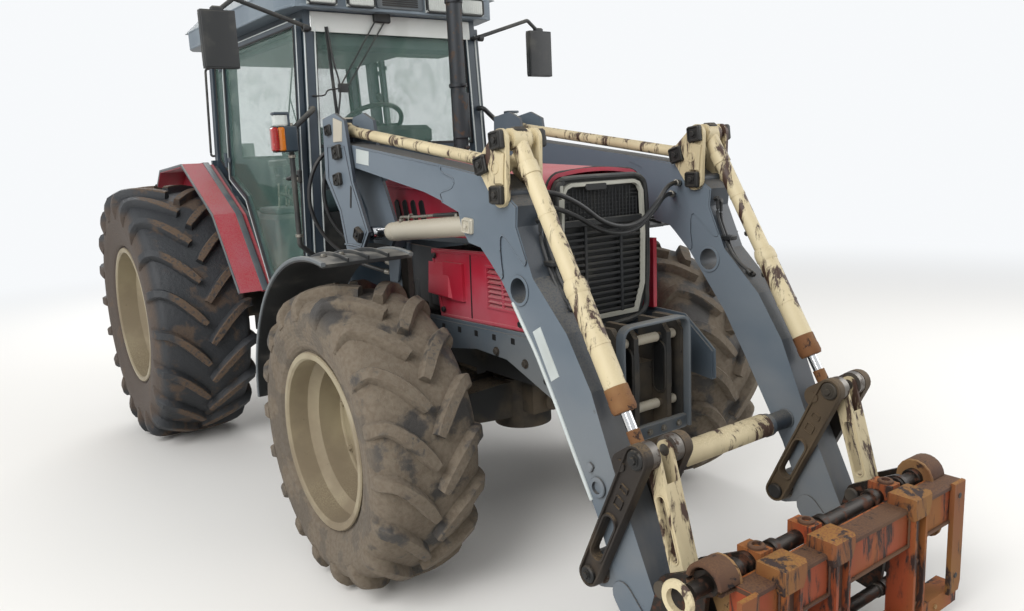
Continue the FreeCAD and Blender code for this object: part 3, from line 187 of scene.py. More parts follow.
@dataclass(frozen=True)
class Enamel(Coating):
    """Sprayed enamel on steel that has faded, chipped to primer or rust, and gathered dust.

    The eye gets broad fading, sharp chips with a dark edge, runs of dirt that
    follow the grain, and pale dust on faces that look up and near the ground.
    """

    colour: str
    faded: str
    chip: str = "#4A3A2E"
    dust: str = "#A39C8C"
    # Darker colour for faces that don't look sideways: painted shade, partly dirt.
    shade_and_dirt_face: str = ""
    chips: float = 0.2
    chip_mm: float = 18.0
    dusting: float = 0.35
    fade: float = 0.6
    roughness: float = 0.48
    metallic: float = 0.0
    grain: Grain = Grain.EVEN

    def wire(self, graph: Graph) -> None:
        """Fill the tree: fading, then smears and dust, then chips with their edge."""
        place, facing = graph.place(), graph.facing()
        height = graph.add("SeparateXYZ", {0: place})["Z"]
        drawn = graph.add("Mapping", {"Vector": place, "Scale": self.grain.value})[0]
        broad = graph.noise(drawn, 3.2, 5.0)
        fine = graph.noise(drawn, 1000 / self.chip_mm / 3, 9.0, Roughness=0.68, Distortion=0.4)
        grit = graph.noise(place, 160.0, 4.0)
        colour = graph.mix(graph.step(broad, 0.36, 0.66, self.fade), self.colour, self.faded)
        # Faces that don't look sideways take the darker face colour: painted shade, partly dirt.
        if self.shade_and_dirt_face:
            across = graph.math("ABSOLUTE", facing["X"])
            colour = graph.mix(graph.step(across, 0.5, 0.8), self.shade_and_dirt_face, colour)
        smear = graph.times(graph.step(broad, 0.42, 0.62), graph.step(height, 1.6, 0.1))
        level = graph.times(graph.step(facing["Z"], 0.25, 0.95), graph.step(grit, 0.3, 0.6))
        soiled = graph.larger(smear, level)
        colour = graph.mix(graph.times(soiled, self.dusting), colour, self.dust)
        start = 0.78 - 0.3 * self.chips
        bare = graph.step(fine, start, start + 0.025)
        colour = graph.mix(graph.step(fine, start - 0.035, start, 0.45), colour, self.chip)
        colour = graph.mix(bare, colour, self.chip)
        depth = graph.math("MULTIPLY_ADD", bare, -1.0, graph.times(grit, 0.3))
        graph.close(colour, graph.ramp(soiled, self.roughness, 0.85),
                    {"Metallic": self.metallic, "Normal": graph.bump(depth, 0.0012, 0.6)})


@dataclass(frozen=True)
class TyreRubber(Coating):
    """Moulded natural rubber tread with dried soil.

    Soil stays on the lug tops and lies in patches over the casing; the side
    wall shows rings of its mould and a film of dust.
    """

    centre: tuple[float, float]
    casing_radius: float
    tread_radius: float
    rubber: str
    soil: str
    cover: float

    def wire(self, graph: Graph) -> None:
        """Fill the tree, with the radius measured from the wheel's axle."""
        place = graph.place()
        y, z = self.centre
        centred = graph.add("Mapping", {"Vector": place, "Location": (0, -y, -z), "Scale": (0, 1, 1)})[0]
        radius = graph.add("VectorMath", {0: centred}, operation="LENGTH")["Value"]
        broad = graph.noise(place, 5.5, 7.0, Roughness=0.6)
        fine = graph.noise(place, 55.0, 6.0)
        grit = graph.noise(place, 220.0, 3.0)
        rings = graph.math("SINE", graph.times(radius, 420.0))
        side = graph.step(radius, self.casing_radius - 0.03, self.casing_radius - 0.09)
        top = graph.step(radius, self.tread_radius - 0.012, self.tread_radius - 0.004)
        patch = graph.step(broad, 0.62 - 0.3 * self.cover, 0.72 - 0.3 * self.cover)
        worn = graph.times(top, graph.step(fine, 0.3, 0.55))
        film = graph.larger(graph.times(patch, 0.35 + 0.6 * self.cover), graph.times(worn, 0.75))
        film = graph.larger(film, graph.times(side, 0.28 + 0.3 * self.cover))
        soil = graph.mix(graph.step(fine, 0.35, 0.7, 0.45), self.soil, "#5B4B3B")
        height = graph.math("MULTIPLY_ADD", graph.times(rings, side), 0.12, fine)
        height = graph.math("MULTIPLY_ADD", grit, 0.35, height)
        graph.close(graph.mix(film, self.rubber, soil), graph.ramp(film, 0.62, 1.05),
                    {"Normal": graph.bump(height, 0.006, 0.55)})


@dataclass(frozen=True)
class Metal(Coating):
    """Bare steel: drawn, cast or chromed, with stains that dull it."""

    colour: str
    stain: str
    stained: float = 0.3
    metallic: float = 1.0
    roughness: float = 0.3
    mark_mm: float = 12.0

    def wire(self, graph: Graph) -> None:
        """Fill the tree: stains on bright steel."""
        place = graph.place()
        marks = graph.noise(place, 1000 / self.mark_mm / 3, 8.0, Roughness=0.65)
        grit = graph.noise(place, 320.0, 3.0)
        dull = graph.step(marks, 0.7 - 0.4 * self.stained, 0.82 - 0.4 * self.stained)
        graph.close(graph.mix(dull, self.colour, self.stain), graph.ramp(dull, self.roughness, 0.85),
                    {"Metallic": graph.ramp(dull, self.metallic, 0.15), "Normal": graph.bump(grit, 0.0006, 0.5)})


@dataclass(frozen=True)
class Moulding(Coating):
    """Moulded plastic or rubber with a fine grained skin and dust on what looks up."""

    colour: str
    dust: str = "#8F8A7E"
    dusting: float = 0.35
    roughness: float = 0.55
    skin_mm: float = 1.6

    def wire(self, graph: Graph) -> None:
        """Fill the tree: a film of dust over the skin."""
        place = graph.place()
        broad = graph.noise(place, 6.0, 6.0)
        skin = graph.add("TexVoronoi", {"Vector": place, "Scale": 1000 / self.skin_mm / 4})[0]
        up = graph.step(graph.facing()["Z"], 0.1, 0.95)
        film = graph.times(graph.times(up, graph.step(broad, 0.35, 0.65)), self.dusting)
        film = graph.larger(film, graph.step(broad, 0.5, 0.75, self.dusting * 0.5))
        graph.close(graph.mix(film, self.colour, self.dust), graph.ramp(film, self.roughness, 0.9),
                    {"Normal": graph.bump(skin, 0.0005, 0.4)})


@dataclass(frozen=True)
class Glazing(Coating):
    """Tinted safety glass with a film of dust and smears that are less clear."""

    tint: str
    clear: float = 0.26
    dusty: float = 0.3

    def wire(self, graph: Graph) -> None:
        """Fill the tree: smears and spots on clear glass."""
        place = graph.place()
        smear = graph.noise(place, 4.0, 7.0, Distortion=1.2)
        spots = graph.noise(place, 90.0, 4.0)
        film = graph.larger(graph.step(smear, 0.45, 0.8, self.dusty), graph.step(spots, 0.62, 0.7, self.dusty))
        graph.close(graph.mix(film, self.tint, "#B9B7A6"), graph.ramp(film, 0.04, 0.7),
                    {"Alpha": graph.ramp(film, self.clear, 0.85), "Specular IOR Level": 0.8})


class Finish(Enum):
    """Every finish on the machine, by the piece that it is for."""

    BODY_RED = Enamel("faded_red_enamel", "body_red", "#A81F33", "#A9495A", "#5F2A2C", "#A58E86", chips=0.06,
                      dusting=0.5, fade=0.75, roughness=0.42)
    # ARM_GREY's darker colour on faces that don't look sideways is painted shade, partly dirt.
    ARM_GREY = Enamel("blue_grey_arm_enamel", "loader_blue", "#56616B", "#6D7780", "#433D38", "#8A8172",
                      shade_and_dirt_face="#2C333B", chips=0.16, dusting=0.35, grain=Grain.LENGTHWISE)
    FRAME_GREY = Enamel("blue_grey_frame_enamel", "loader_blue", "#454F58", "#5F6971", "#352F2A", "#857B69", chips=0.25,
                        dusting=0.55, grain=Grain.LENGTHWISE)
    LINK_CREAM = Enamel("chipped_cream_enamel", "loader_cream", "#C9BB98", "#AE9F7E", "#3E2A20", "#8F7F65", chips=0.76,
                        chip_mm=24.0, dusting=0.35, roughness=0.55, grain=Grain.UPRIGHT)
    LIFT_CREAM = Enamel("greyed_cream_enamel", "loader_cream", "#B8B3A4", "#A8A090", "#5A4A3A", "#9A8C74", chips=0.3,
                        chip_mm=20.0, dusting=0.5, grain=Grain.LENGTHWISE)
    CARRIER_ORANGE = Enamel("rusted_orange_enamel", "carrier_orange", "#8F3C19", "#5E2E19", "#2A1710", "#A3702C",
                            chips=0.8, chip_mm=30.0, dusting=0.45, fade=0.9, roughness=0.7, grain=Grain.UPRIGHT)
    DARK_RUST = Enamel("scaled_dark_rust", "carrier_orange", "#4A3024", "#38261F", "#1C1412", "#7D5A38", chips=0.5,
                       chip_mm=16.0, dusting=0.4, roughness=0.8, metallic=0.1)
    OCHRE_RUST = Enamel("ochre_streaked_rust", "carrier_orange", "#7A451F", "#5A3320", "#2B1B15", "#98702F", chips=0.75,
                        chip_mm=26.0, dusting=0.6, fade=0.9, roughness=0.75, grain=Grain.UPRIGHT)
    # The pale grey of the guards' rolled outer lips is a painted highlight.
    HIGHLIGHT_GUARD_EDGE = Moulding("painted_highlight_guard_edge", "plastic_black", "#5A5F62", "#8D8A82", 0.6, 0.5)
    RIM_CREAM = Enamel("dusty_cream_rim_enamel", "rim_cream", "#93886F", "#7D715C", "#4C4034", "#6F614F", chips=0.25,
                       chip_mm=10.0, dusting=0.6)
    CAB_GREY = Enamel("dark_cab_enamel", "cab_grey", "#27323B", "#3B4650", "#1A1C1E", "#8A8A80", chips=0.08,
                      dusting=0.3, roughness=0.4)
    ROOF_GREY = Enamel("grey_roof_gelcoat", "roof_grey", "#5E6A74", "#77828A", "#3A3F44", "#A5A396", chips=0.05,
                       dusting=0.45, roughness=0.45)
    ENGINE_GREY = Enamel("oily_engine_enamel", "engine_grey", "#24272A", "#33363A", "#15130F", "#6B5E4B", chips=0.35,
                         dusting=0.5, roughness=0.6)
    CAST_IRON = Enamel("sand_cast_iron", "cast_dark", "#2B2C2C", "#3C3934", "#1C1714", "#7A6A54", chips=0.4,
                       chip_mm=9.0, dusting=0.7, roughness=0.72, metallic=0.3)
    CAST_LINK = Enamel("brown_forged_steel", "cast_links_brown", "#2E2925", "#4A3F34", "#171311", "#7D6A50", chips=0.35,
                       chip_mm=14.0, dusting=0.6, roughness=0.6, metallic=0.4, grain=Grain.UPRIGHT)
    SHAFT_STEEL = Metal("oiled_dark_shaft", "shaft_dark", "#2C2723", "#4A2A18", 0.5, 0.7, 0.45)
    CHROME = Metal("hard_chrome_rod", "rod_chrome", "#C9CACB", "#7A6A58", 0.12, 1.0, 0.12)
    PIN_STEEL = Metal("worn_pin_steel", "pin_steel", "#6B6762", "#3A2A1E", 0.55, 0.85, 0.4)
    EXHAUST = Metal("heat_dulled_exhaust", "exhaust_steel", "#2F3235", "#4A3A2E", 0.4, 0.5, 0.55)
    BOLT_STEEL = Metal("zinc_plated_bolts", "pin_steel", "#8B877E", "#4B3A2B", 0.45, 0.85, 0.42, 6.0)
    PALE_PLATE = Enamel("pale_blank_plate", "cab_grey", "#B7BDBB", "#A3A9A6", "#6B675C", "#A39C8C",
                        chips=0.2, chip_mm=9.0)
    PIN_BLOCK = Enamel("dark_pin_keeper", "cast_dark", "#262626", "#3A3732", "#15110E", "#6E6252", chips=0.4,
                       chip_mm=8.0, dusting=0.5, roughness=0.55, metallic=0.4)
    RUST = Enamel("flaking_rust_on_steel", "cast_links_brown", "#6B4526", "#8E6A42", "#2E1A10", "#A08358", chips=0.6,
                  chip_mm=12.0, dusting=0.5, roughness=0.75, metallic=0.2)
    NOSE_RIM = Enamel("worn_silver_rim", "plastic_black", "#B4B3A8", "#98978C", "#3A3A36", "#8F8A7C", chips=0.3,
                      chip_mm=9.0, dusting=0.5, roughness=0.4)
    MIRROR = Metal("silvered_mirror_glass", "plastic_black", "#D5D9DA", "#8D8D88", 0.15, 1.0, 0.06)
    BLACK_PLASTIC = Moulding("black_moulded_plastic", "plastic_black", "#17191A")
    GUARD_PLASTIC = Moulding("weathered_black_guard", "plastic_black", "#1E2021", "#9B968C", 0.55, 0.5)
    TRIM_GREY = Moulding("grey_trim_plastic", "plastic_black", "#4B5257", "#8F8A7E", 0.3, 0.55)
    HOSE = Moulding("black_hose_rubber", "hose_rubber", "#151617", "#6F685C", 0.35, 0.45)
    SEAL = Moulding("black_window_seal", "plastic_black", "#0E0F10", "#6F6A60", 0.2, 0.6)
    MESH = Moulding("dusty_black_grille", "plastic_black", "#1A1C1E", "#5E594F", 0.45, 0.65)
    SEAT_CLOTH = Moulding("woven_seat_cloth", "seat_cloth", "#2A3A3C", "#6C6F68", 0.3, 0.9, 3.0)
    CAB_GLASS = Glazing("green_tinted_safety_glass", "glass_green", "#6E9286", 0.17, 0.22)
    LAMP_GLASS = Glazing("clear_lamp_glass", "lamp_clear", "#D9DDD8", 0.55, 0.4)
    RED_LENS = Glazing("red_lens", "lamp_clear", "#9E1A14", 0.9, 0.2)
    AMBER_LENS = Glazing("amber_lens", "lamp_clear", "#C8701A", 0.9, 0.2)
    SUN_STRIP = Glazing("white_sun_strip", "cab_grey", "#C9CCC8", 0.86, 0.2)

    def material(self) -> bpy.types.Material:
        """Return the finish's material, built once."""
        return self.value.material()


# Shapes


@dataclass
class Shape:
    """Points of a surface and the faces between them."""

    points: Floats
    faces: list

    def moved(self, x: float = 0.0, y: float = 0.0, z: float = 0.0) -> "Shape":
        """The shape moved by x, y and z."""
        return Shape(self.points + np.array((x, y, z)), self.faces)

    def mapped(self, matrix: Matrix) -> "Shape":
        """The shape under a 4 by 4 matrix."""
        grid = np.array(matrix)
        return Shape(self.points @ grid[:3, :3].T + grid[:3, 3], self.faces)

    def mirrored(self) -> "Shape":
        """The shape's reflection in the plane x = 0, with its faces turned back outwards."""
        return Shape(self.points * np.array((-1.0, 1.0, 1.0)), [tuple(reversed(face)) for face in self.faces])


def both(shapes: list[Shape]) -> list[Shape]:
    """Shapes with their reflections in x = 0."""
    return shapes + on_side(shapes, -1)


def on_side(shapes: list[Shape], side: int) -> list[Shape]:
    """Shapes of the left side as they are, or their reflections where the side is -1."""
    return shapes if side > 0 else [shape.mirrored() for shape in shapes]


def sheet_of(points: Floats, wrap_u: bool = False, wrap_v: bool = False, cap: bool = False) -> Shape:
    """Surface on a grid of points P(u, v).

    Args:
        points: Array of rows, columns and three coordinates.
        wrap_u: Join the last row to the first.
        wrap_v: Join the last column to the first.
        cap: Close the first and last row with one face each.

    Returns:
        The surface with one four-sided face to each cell.
    """
    rows, columns = points.shape[:2]
    number = np.arange(rows * columns).reshape(rows, columns)
    u = np.arange(rows if wrap_u else rows - 1)
    v = np.arange(columns if wrap_v else columns - 1)
    uu, vv = np.meshgrid(u, v, indexing="ij")
    un, vn = (uu + 1) % rows, (vv + 1) % columns
    cells = np.stack([number[uu, vv], number[un, vv], number[un, vn], number[uu, vn]], -1).reshape(-1, 4)
    faces = cells.tolist()
    if cap:
        faces += [number[0].tolist(), number[-1][::-1].tolist()]
    return Shape(points.reshape(-1, 3).astype(float), faces)


def smooth_line(points: list, steps: int = 8) -> Floats:
    """Catmull-Rom curve through points: each span is the cubic whose end slopes join the neighbours."""
    p = np.array(points, float)
    p = np.vstack([2 * p[0] - p[1], p, 2 * p[-1] - p[-2]])
    t = np.linspace(0, 1, steps, endpoint=False)[None, :, None]
    a, b, c, d = (p[i:len(p) - 3 + i][:, None] for i in range(4))
    span = 0.5 * (2 * b + (c - a) * t + (2 * a - 5 * b + 4 * c - d) * t ** 2 + (3 * b - a - 3 * c + d) * t ** 3)
    return np.vstack([span.reshape(-1, p.shape[1]), p[-2]])


def bent_line(points: list, bend: float, steps: int = 7) -> Floats:
    """Straight runs with each corner replaced by a quadratic arc that starts bend away from it."""
    p = [np.array(q, float) for q in points]
    line = [p[0]]
    t = np.linspace(0, 1, steps)[:, None]
    for before, corner, after in zip(p, p[1:], p[2:]):
        into, out = before - corner, after - corner
        near = min(bend, 0.45 * np.linalg.norm(into), 0.45 * np.linalg.norm(out))
        start, end = corner + into / np.linalg.norm(into) * near, corner + out / np.linalg.norm(out) * near
        line.extend((1 - t) ** 2 * start + 2 * t * (1 - t) * corner + t ** 2 * end)
    line.append(p[-1])
    return np.array(line)


def carried(path: Floats | list, section: Floats, up: tuple = (0.0, 0.0, 1.0), scale: Floats | None = None) -> Shape:
    """Closed section carried along a path and capped.

    The section's first coordinate lies across the path, square to up, and its
    second one square to both the path and that.

    Args:
        path: Points in order, three coordinates each.
        section: Points of the section round its middle, two coordinates each.
        up: Direction that the section's second coordinate leans to.
        scale: Factor on the section at each point of the path.

    Returns:
        The closed shape.
    """
    path = np.array(path, float)
    ahead = np.gradient(path, axis=0)
    ahead /= np.linalg.norm(ahead, axis=1)[:, None]
    across = np.cross(np.broadcast_to(np.array(up, float), ahead.shape), ahead)
    small = np.linalg.norm(across, axis=1) < 1e-3
    across[small] = np.cross((1.0, 0.0, 0.0), ahead[small])
    across /= np.linalg.norm(across, axis=1)[:, None]
    square = np.cross(ahead, across)
    size = np.ones(len(path)) if scale is None else scale
    ring = section[None] * size[:, None, None]
    points = path[:, None] + across[:, None] * ring[..., :1] + square[:, None] * ring[..., 1:]
    return sheet_of(points, wrap_v=True, cap=True)


def circle(radius: float, count: int = 16) -> Floats:
    """Points of a circle: radius times cosine and sine of even steps."""
    turn = np.linspace(0, math.tau, count, endpoint=False)
    return radius * np.stack([np.cos(turn), np.sin(turn)], -1)


def rounded(half_a: float, half_b: float, corner: float, steps: int = 4) -> Floats:
    """Rectangle of half sides a and b whose corners are quarter circles."""
    turn = np.linspace(0, math.pi / 2, steps)
    arc = corner * np.stack([np.cos(turn), np.sin(turn)], -1)
    points = []
    for quarter, (sa, sb) in enumerate(((1, 1), (-1, 1), (-1, -1), (1, -1))):
        c, s = math.cos(quarter * math.pi / 2), math.sin(quarter * math.pi / 2)
        points.append(arc @ np.array(((c, s), (-s, c))) + (sa * (half_a - corner), sb * (half_b - corner)))
    return np.vstack(points)


def tube(points: Floats | list, radius: float, count: int = 12) -> Shape:
    """Round bar or pipe along points, with its end edges broken by a short taper."""
    path = np.array(points, float)
    lead = (path[1] - path[0]) / np.linalg.norm(path[1] - path[0]) * radius * 0.15
    tail = (path[-1] - path[-2]) / np.linalg.norm(path[-1] - path[-2]) * radius * 0.15
    path = np.vstack([path[0], path[0] + lead, path[1:-1], path[-1] - tail, path[-1]])
    scale = np.ones(len(path))
    scale[[0, -1]] = 0.86
    return carried(path, circle(radius, count), scale=scale)


def block(low: tuple, high: tuple, edge: float = 0.004) -> Shape:
    """Box between two corners with every edge broken: a rounded section carried upwards through inset ends."""
    low, high = np.array(low, float), np.array(high, float)
    middle, half = (low + high) / 2, (high - low) / 2
    edge = min(edge, 0.45 * float(half.min()))
    heights = np.array((-half[2], -half[2] + edge, half[2] - edge, half[2]))
    shrink = np.array((edge, 0.0, 0.0, edge))
    rings = [np.column_stack([rounded(half[0] - s, half[1] - s, max(edge - s * 0.7, 1e-4)), np.full(16, z)])
             for z, s in zip(heights, shrink)]
    return sheet_of(np.array(rings), wrap_v=True, cap=True).moved(*middle)


def plate(outline: list, x0: float, x1: float, edge: float = 0.003) -> Shape:
    """Side-view outline of (y, z) points as a plate from x0 to x1 with broken edges.

    The rings at both faces are the outline drawn in towards its middle by edge.
    """
    flat = np.array(outline, float)
    middle = flat.mean(0)
    reach = np.linalg.norm(flat - middle, axis=1)[:, None]
    inner = middle + (flat - middle) * (1 - edge / reach)
    rings = [np.column_stack([np.full(len(flat), x), ring]) for x, ring in
             ((x0, inner), (x0 + edge, flat), (x1 - edge, flat), (x1, inner))]
    return sheet_of(np.array(rings), wrap_v=True, cap=True)


def lathe(profile: Floats | list, centre: tuple, steps: int = 96) -> Shape:
    """Closed profile of (x, radius) points turned about a crosswise axle.

    P(u, v) = centre + (x(v), r(v) cos u, r(v) sin u).
    """
    line = np.array(profile, float)
    turn = np.linspace(0, math.tau, steps, endpoint=False)[:, None]
    x = np.broadcast_to(line[:, 0], (steps, len(line)))
    points = np.stack([x, line[:, 1] * np.cos(turn), line[:, 1] * np.sin(turn)], -1) + np.array(centre)
    return sheet_of(points, wrap_u=True, wrap_v=True)


def aligned(axis: tuple, centre: tuple) -> Matrix:
    """Matrix that turns +Z to an axis and moves the origin to centre."""
    return Matrix.Translation(centre) @ Vector(axis).to_track_quat("Z", "Y").to_matrix().to_4x4()


def hex_bolt(centre: tuple, axis: tuple, size: float = 0.012, height: float = 0.009) -> list[Shape]:
    """Bolt head with a washer that stand on a face at centre along an axis."""
    ring = np.array([circle(size * s, 6) for s in (1, 1, 0.88)])
    level = np.array((0.003, 0.003 + height * 0.75, 0.003 + height))
    head = np.concatenate([ring, np.broadcast_to(level[:, None, None], (3, 6, 1))], -1)
    disc = np.array([circle(size * 1.45, 12)] * 2)
    washer = np.concatenate([disc, np.broadcast_to(np.array((0.0, 0.003))[:, None, None], (2, 12, 1))], -1)
    turn = aligned(axis, centre)
    return [sheet_of(head, wrap_v=True, cap=True).mapped(turn), sheet_of(washer, wrap_v=True, cap=True).mapped(turn)]


def stud(centre: tuple, axis: tuple, radius: float, height: float, count: int = 20) -> Shape:
    """Round knob that stands on a face at centre along an axis, with its rim broken."""
    edge = min(0.15 * radius, 0.4 * height)
    rings = [np.column_stack([circle(size, count), np.full(count, level)])
             for size, level in ((radius, 0.0), (radius, height - edge), (radius - edge, height))]
    return sheet_of(np.array(rings), wrap_v=True, cap=True).mapped(aligned(axis, centre))


def turned(profile: list, axis: tuple, centre: tuple, steps: int = 32) -> Shape:
    """Closed profile of (radius, height) points turned about an axis through centre."""
    line = np.array(profile, float)
    turn = np.linspace(0, math.tau, steps, endpoint=False)[:, None]
    high = np.broadcast_to(line[:, 1], (steps, len(line)))
    points = np.stack([line[:, 0] * np.cos(turn), line[:, 0] * np.sin(turn), high], -1)
    return sheet_of(points, wrap_u=True, wrap_v=True).mapped(aligned(axis, centre))


def collar(centre: tuple, axis: tuple, bore: float, radius: float, height: float) -> Shape:
    """Ring about an axis with its outer edges broken."""
    edge = min(0.3 * (radius - bore), 0.3 * height)
    return turned([(bore, 0.0), (radius - edge, 0.0), (radius, edge), (radius, height - edge),
                   (radius - edge, height), (bore, height)], axis, centre)


def strap(p: tuple, q: tuple, rp: float, rq: float, steps: int = 9) -> Floats:
    """Outline of a link with round ends: an arc about each place, joined by their common tangents."""
    p, q = np.array(p, float), np.array(q, float)
    along = q - p
    base, lean = math.atan2(along[1], along[0]), math.acos((rp - rq) / np.linalg.norm(along))
    near, far = base + np.linspace(lean, math.tau - lean, steps), base + np.linspace(-lean, lean, steps)
    return np.vstack([p + rp * np.stack([np.cos(near), np.sin(near)], -1),
                      q + rq * np.stack([np.cos(far), np.sin(far)], -1)])


def lip(outline: Floats | list, x0: float, x1: float, width: float) -> Shape:
    """Raised lip along a closed side-view outline: P = outline + n s, with n its inward normal."""
    flat = np.array(outline, float)
    after = np.roll(flat, -1, 0)
    area = float(np.sum(flat[:, 0] * after[:, 1] - after[:, 0] * flat[:, 1]))
    ahead = after - np.roll(flat, 1, 0)
    ahead /= np.linalg.norm(ahead, axis=1)[:, None]
    inward = np.stack([-ahead[:, 1], ahead[:, 0]], -1) * math.copysign(1.0, area)
    rings = [np.column_stack([np.full(len(flat), x), flat + inward * width * share])
             for x, share in ((x0, 0.0), (x1, 0.2), (x1, 0.8), (x0, 1.0))]
    return sheet_of(np.array(rings), wrap_u=True, wrap_v=True)


def tilted(place: tuple, half_a: float, half_b: float, turn: float = 0.0, corner: float = 0.008) -> Floats:
    """Outline of a rounded rectangle about a place in the side view, turned by an angle in degrees."""
    c, s = math.cos(math.radians(turn)), math.sin(math.radians(turn))
    return rounded(half_a, half_b, corner) @ np.array(((c, s), (-s, c))) + np.array(place)


def pin_block(place: tuple, x: float, half: float = 0.034, turn: float = 0.0, deep: float = 0.02) -> list[Shape]:
    """Square pin keeper on a side face at x: a block, a raised rim and a bolt in its middle."""
    shapes = [plate(tilted(place, half, half, turn), x, x + deep, 0.004),
              lip(tilted(place, half * 0.92, half * 0.92, turn), x + deep, x + deep + 0.006, half * 0.24)]
    return shapes + hex_bolt((x + deep, *place), (1, 0, 0), half * 0.36, 0.008)


def between(p: tuple, q: tuple, distance: float) -> tuple[float, float]:
    """Place in the side view at a distance from p towards q."""
    way = np.array(q, float) - np.array(p, float)
    spot = np.array(p, float) + way / np.linalg.norm(way) * distance
    return (float(spot[0]), float(spot[1]))


def sided(line: list, x: float) -> list:
    """Side-view points as points in space at one x."""
    return [(x, y, z) for y, z in line]


def weld(line: list, radius: float = 0.0035) -> Shape:
    """Bead along points: a round bar whose size ripples like laid weld metal."""
    path = smooth_line(line, 8)
    return carried(path, circle(radius, 8), scale=1 + 0.18 * np.sin(np.arange(len(path)) * 1.9))


def at(x: float, y: float, z: float) -> tuple[float, float, float]:
    """Point in the frame of a place that is given from the rear axle."""
    return (x, y + AXLE_Y, z)


def new_object(name: str, data: bpy.types.ID) -> bpy.types.Object:
    """Add an object to the scene."""
    made = bpy.data.objects.new(name, data)
    bpy.context.scene.collection.objects.link(made)
    return made


def put(name: str, finish: Finish | Coating, shapes: list[Shape], body: str = "tractor", slot: str = "",
        replaces: tuple[str, ...] = (), from_axle: bool = True) -> bpy.types.Object:
    """Join shapes into one piece that rides on a body.

    Args:
        name: Name of the piece.
        finish: Finish of the piece.
        shapes: Closed shapes.
        body: Body of the frame that carries it.
        slot: Material slot of the record, if it isn't the finish's usual one; not used.
        replaces: Nodes that the piece stands for.
        from_axle: The shapes' places along the tractor are from the rear axle.

    Returns:
        The piece.
    """
    points, faces, start = [], [], 0
    for shape in shapes:
        points.append(shape.points)
        faces.extend([[index + start for index in face] for face in shape.faces])
        start += len(shape.points)
    cloud = np.vstack(points)
    if from_axle:
        cloud = cloud + np.array((0.0, AXLE_Y, 0.0))
    mesh = bpy.data.meshes.new(name)
    mesh.from_pydata(cloud.tolist(), [], faces)
    shell = bmesh.new()
    shell.from_mesh(mesh)
    bmesh.ops.recalc_face_normals(shell, faces=shell.faces)
    shell.to_mesh(mesh)
    shell.free()
    mesh.shade_smooth()
    mesh.set_sharp_from_angle(angle=SHARP)
    piece = new_object(name, mesh)
    coating = finish.value if isinstance(finish, Finish) else finish
    mesh.materials.append(coating.material())
    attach(piece, body)
    slot or coating.slot
    if replaces:
        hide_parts(*replaces)
    LOG.info("%s: %d points on %s", name, len(cloud), body)
    return piece


# Wheels


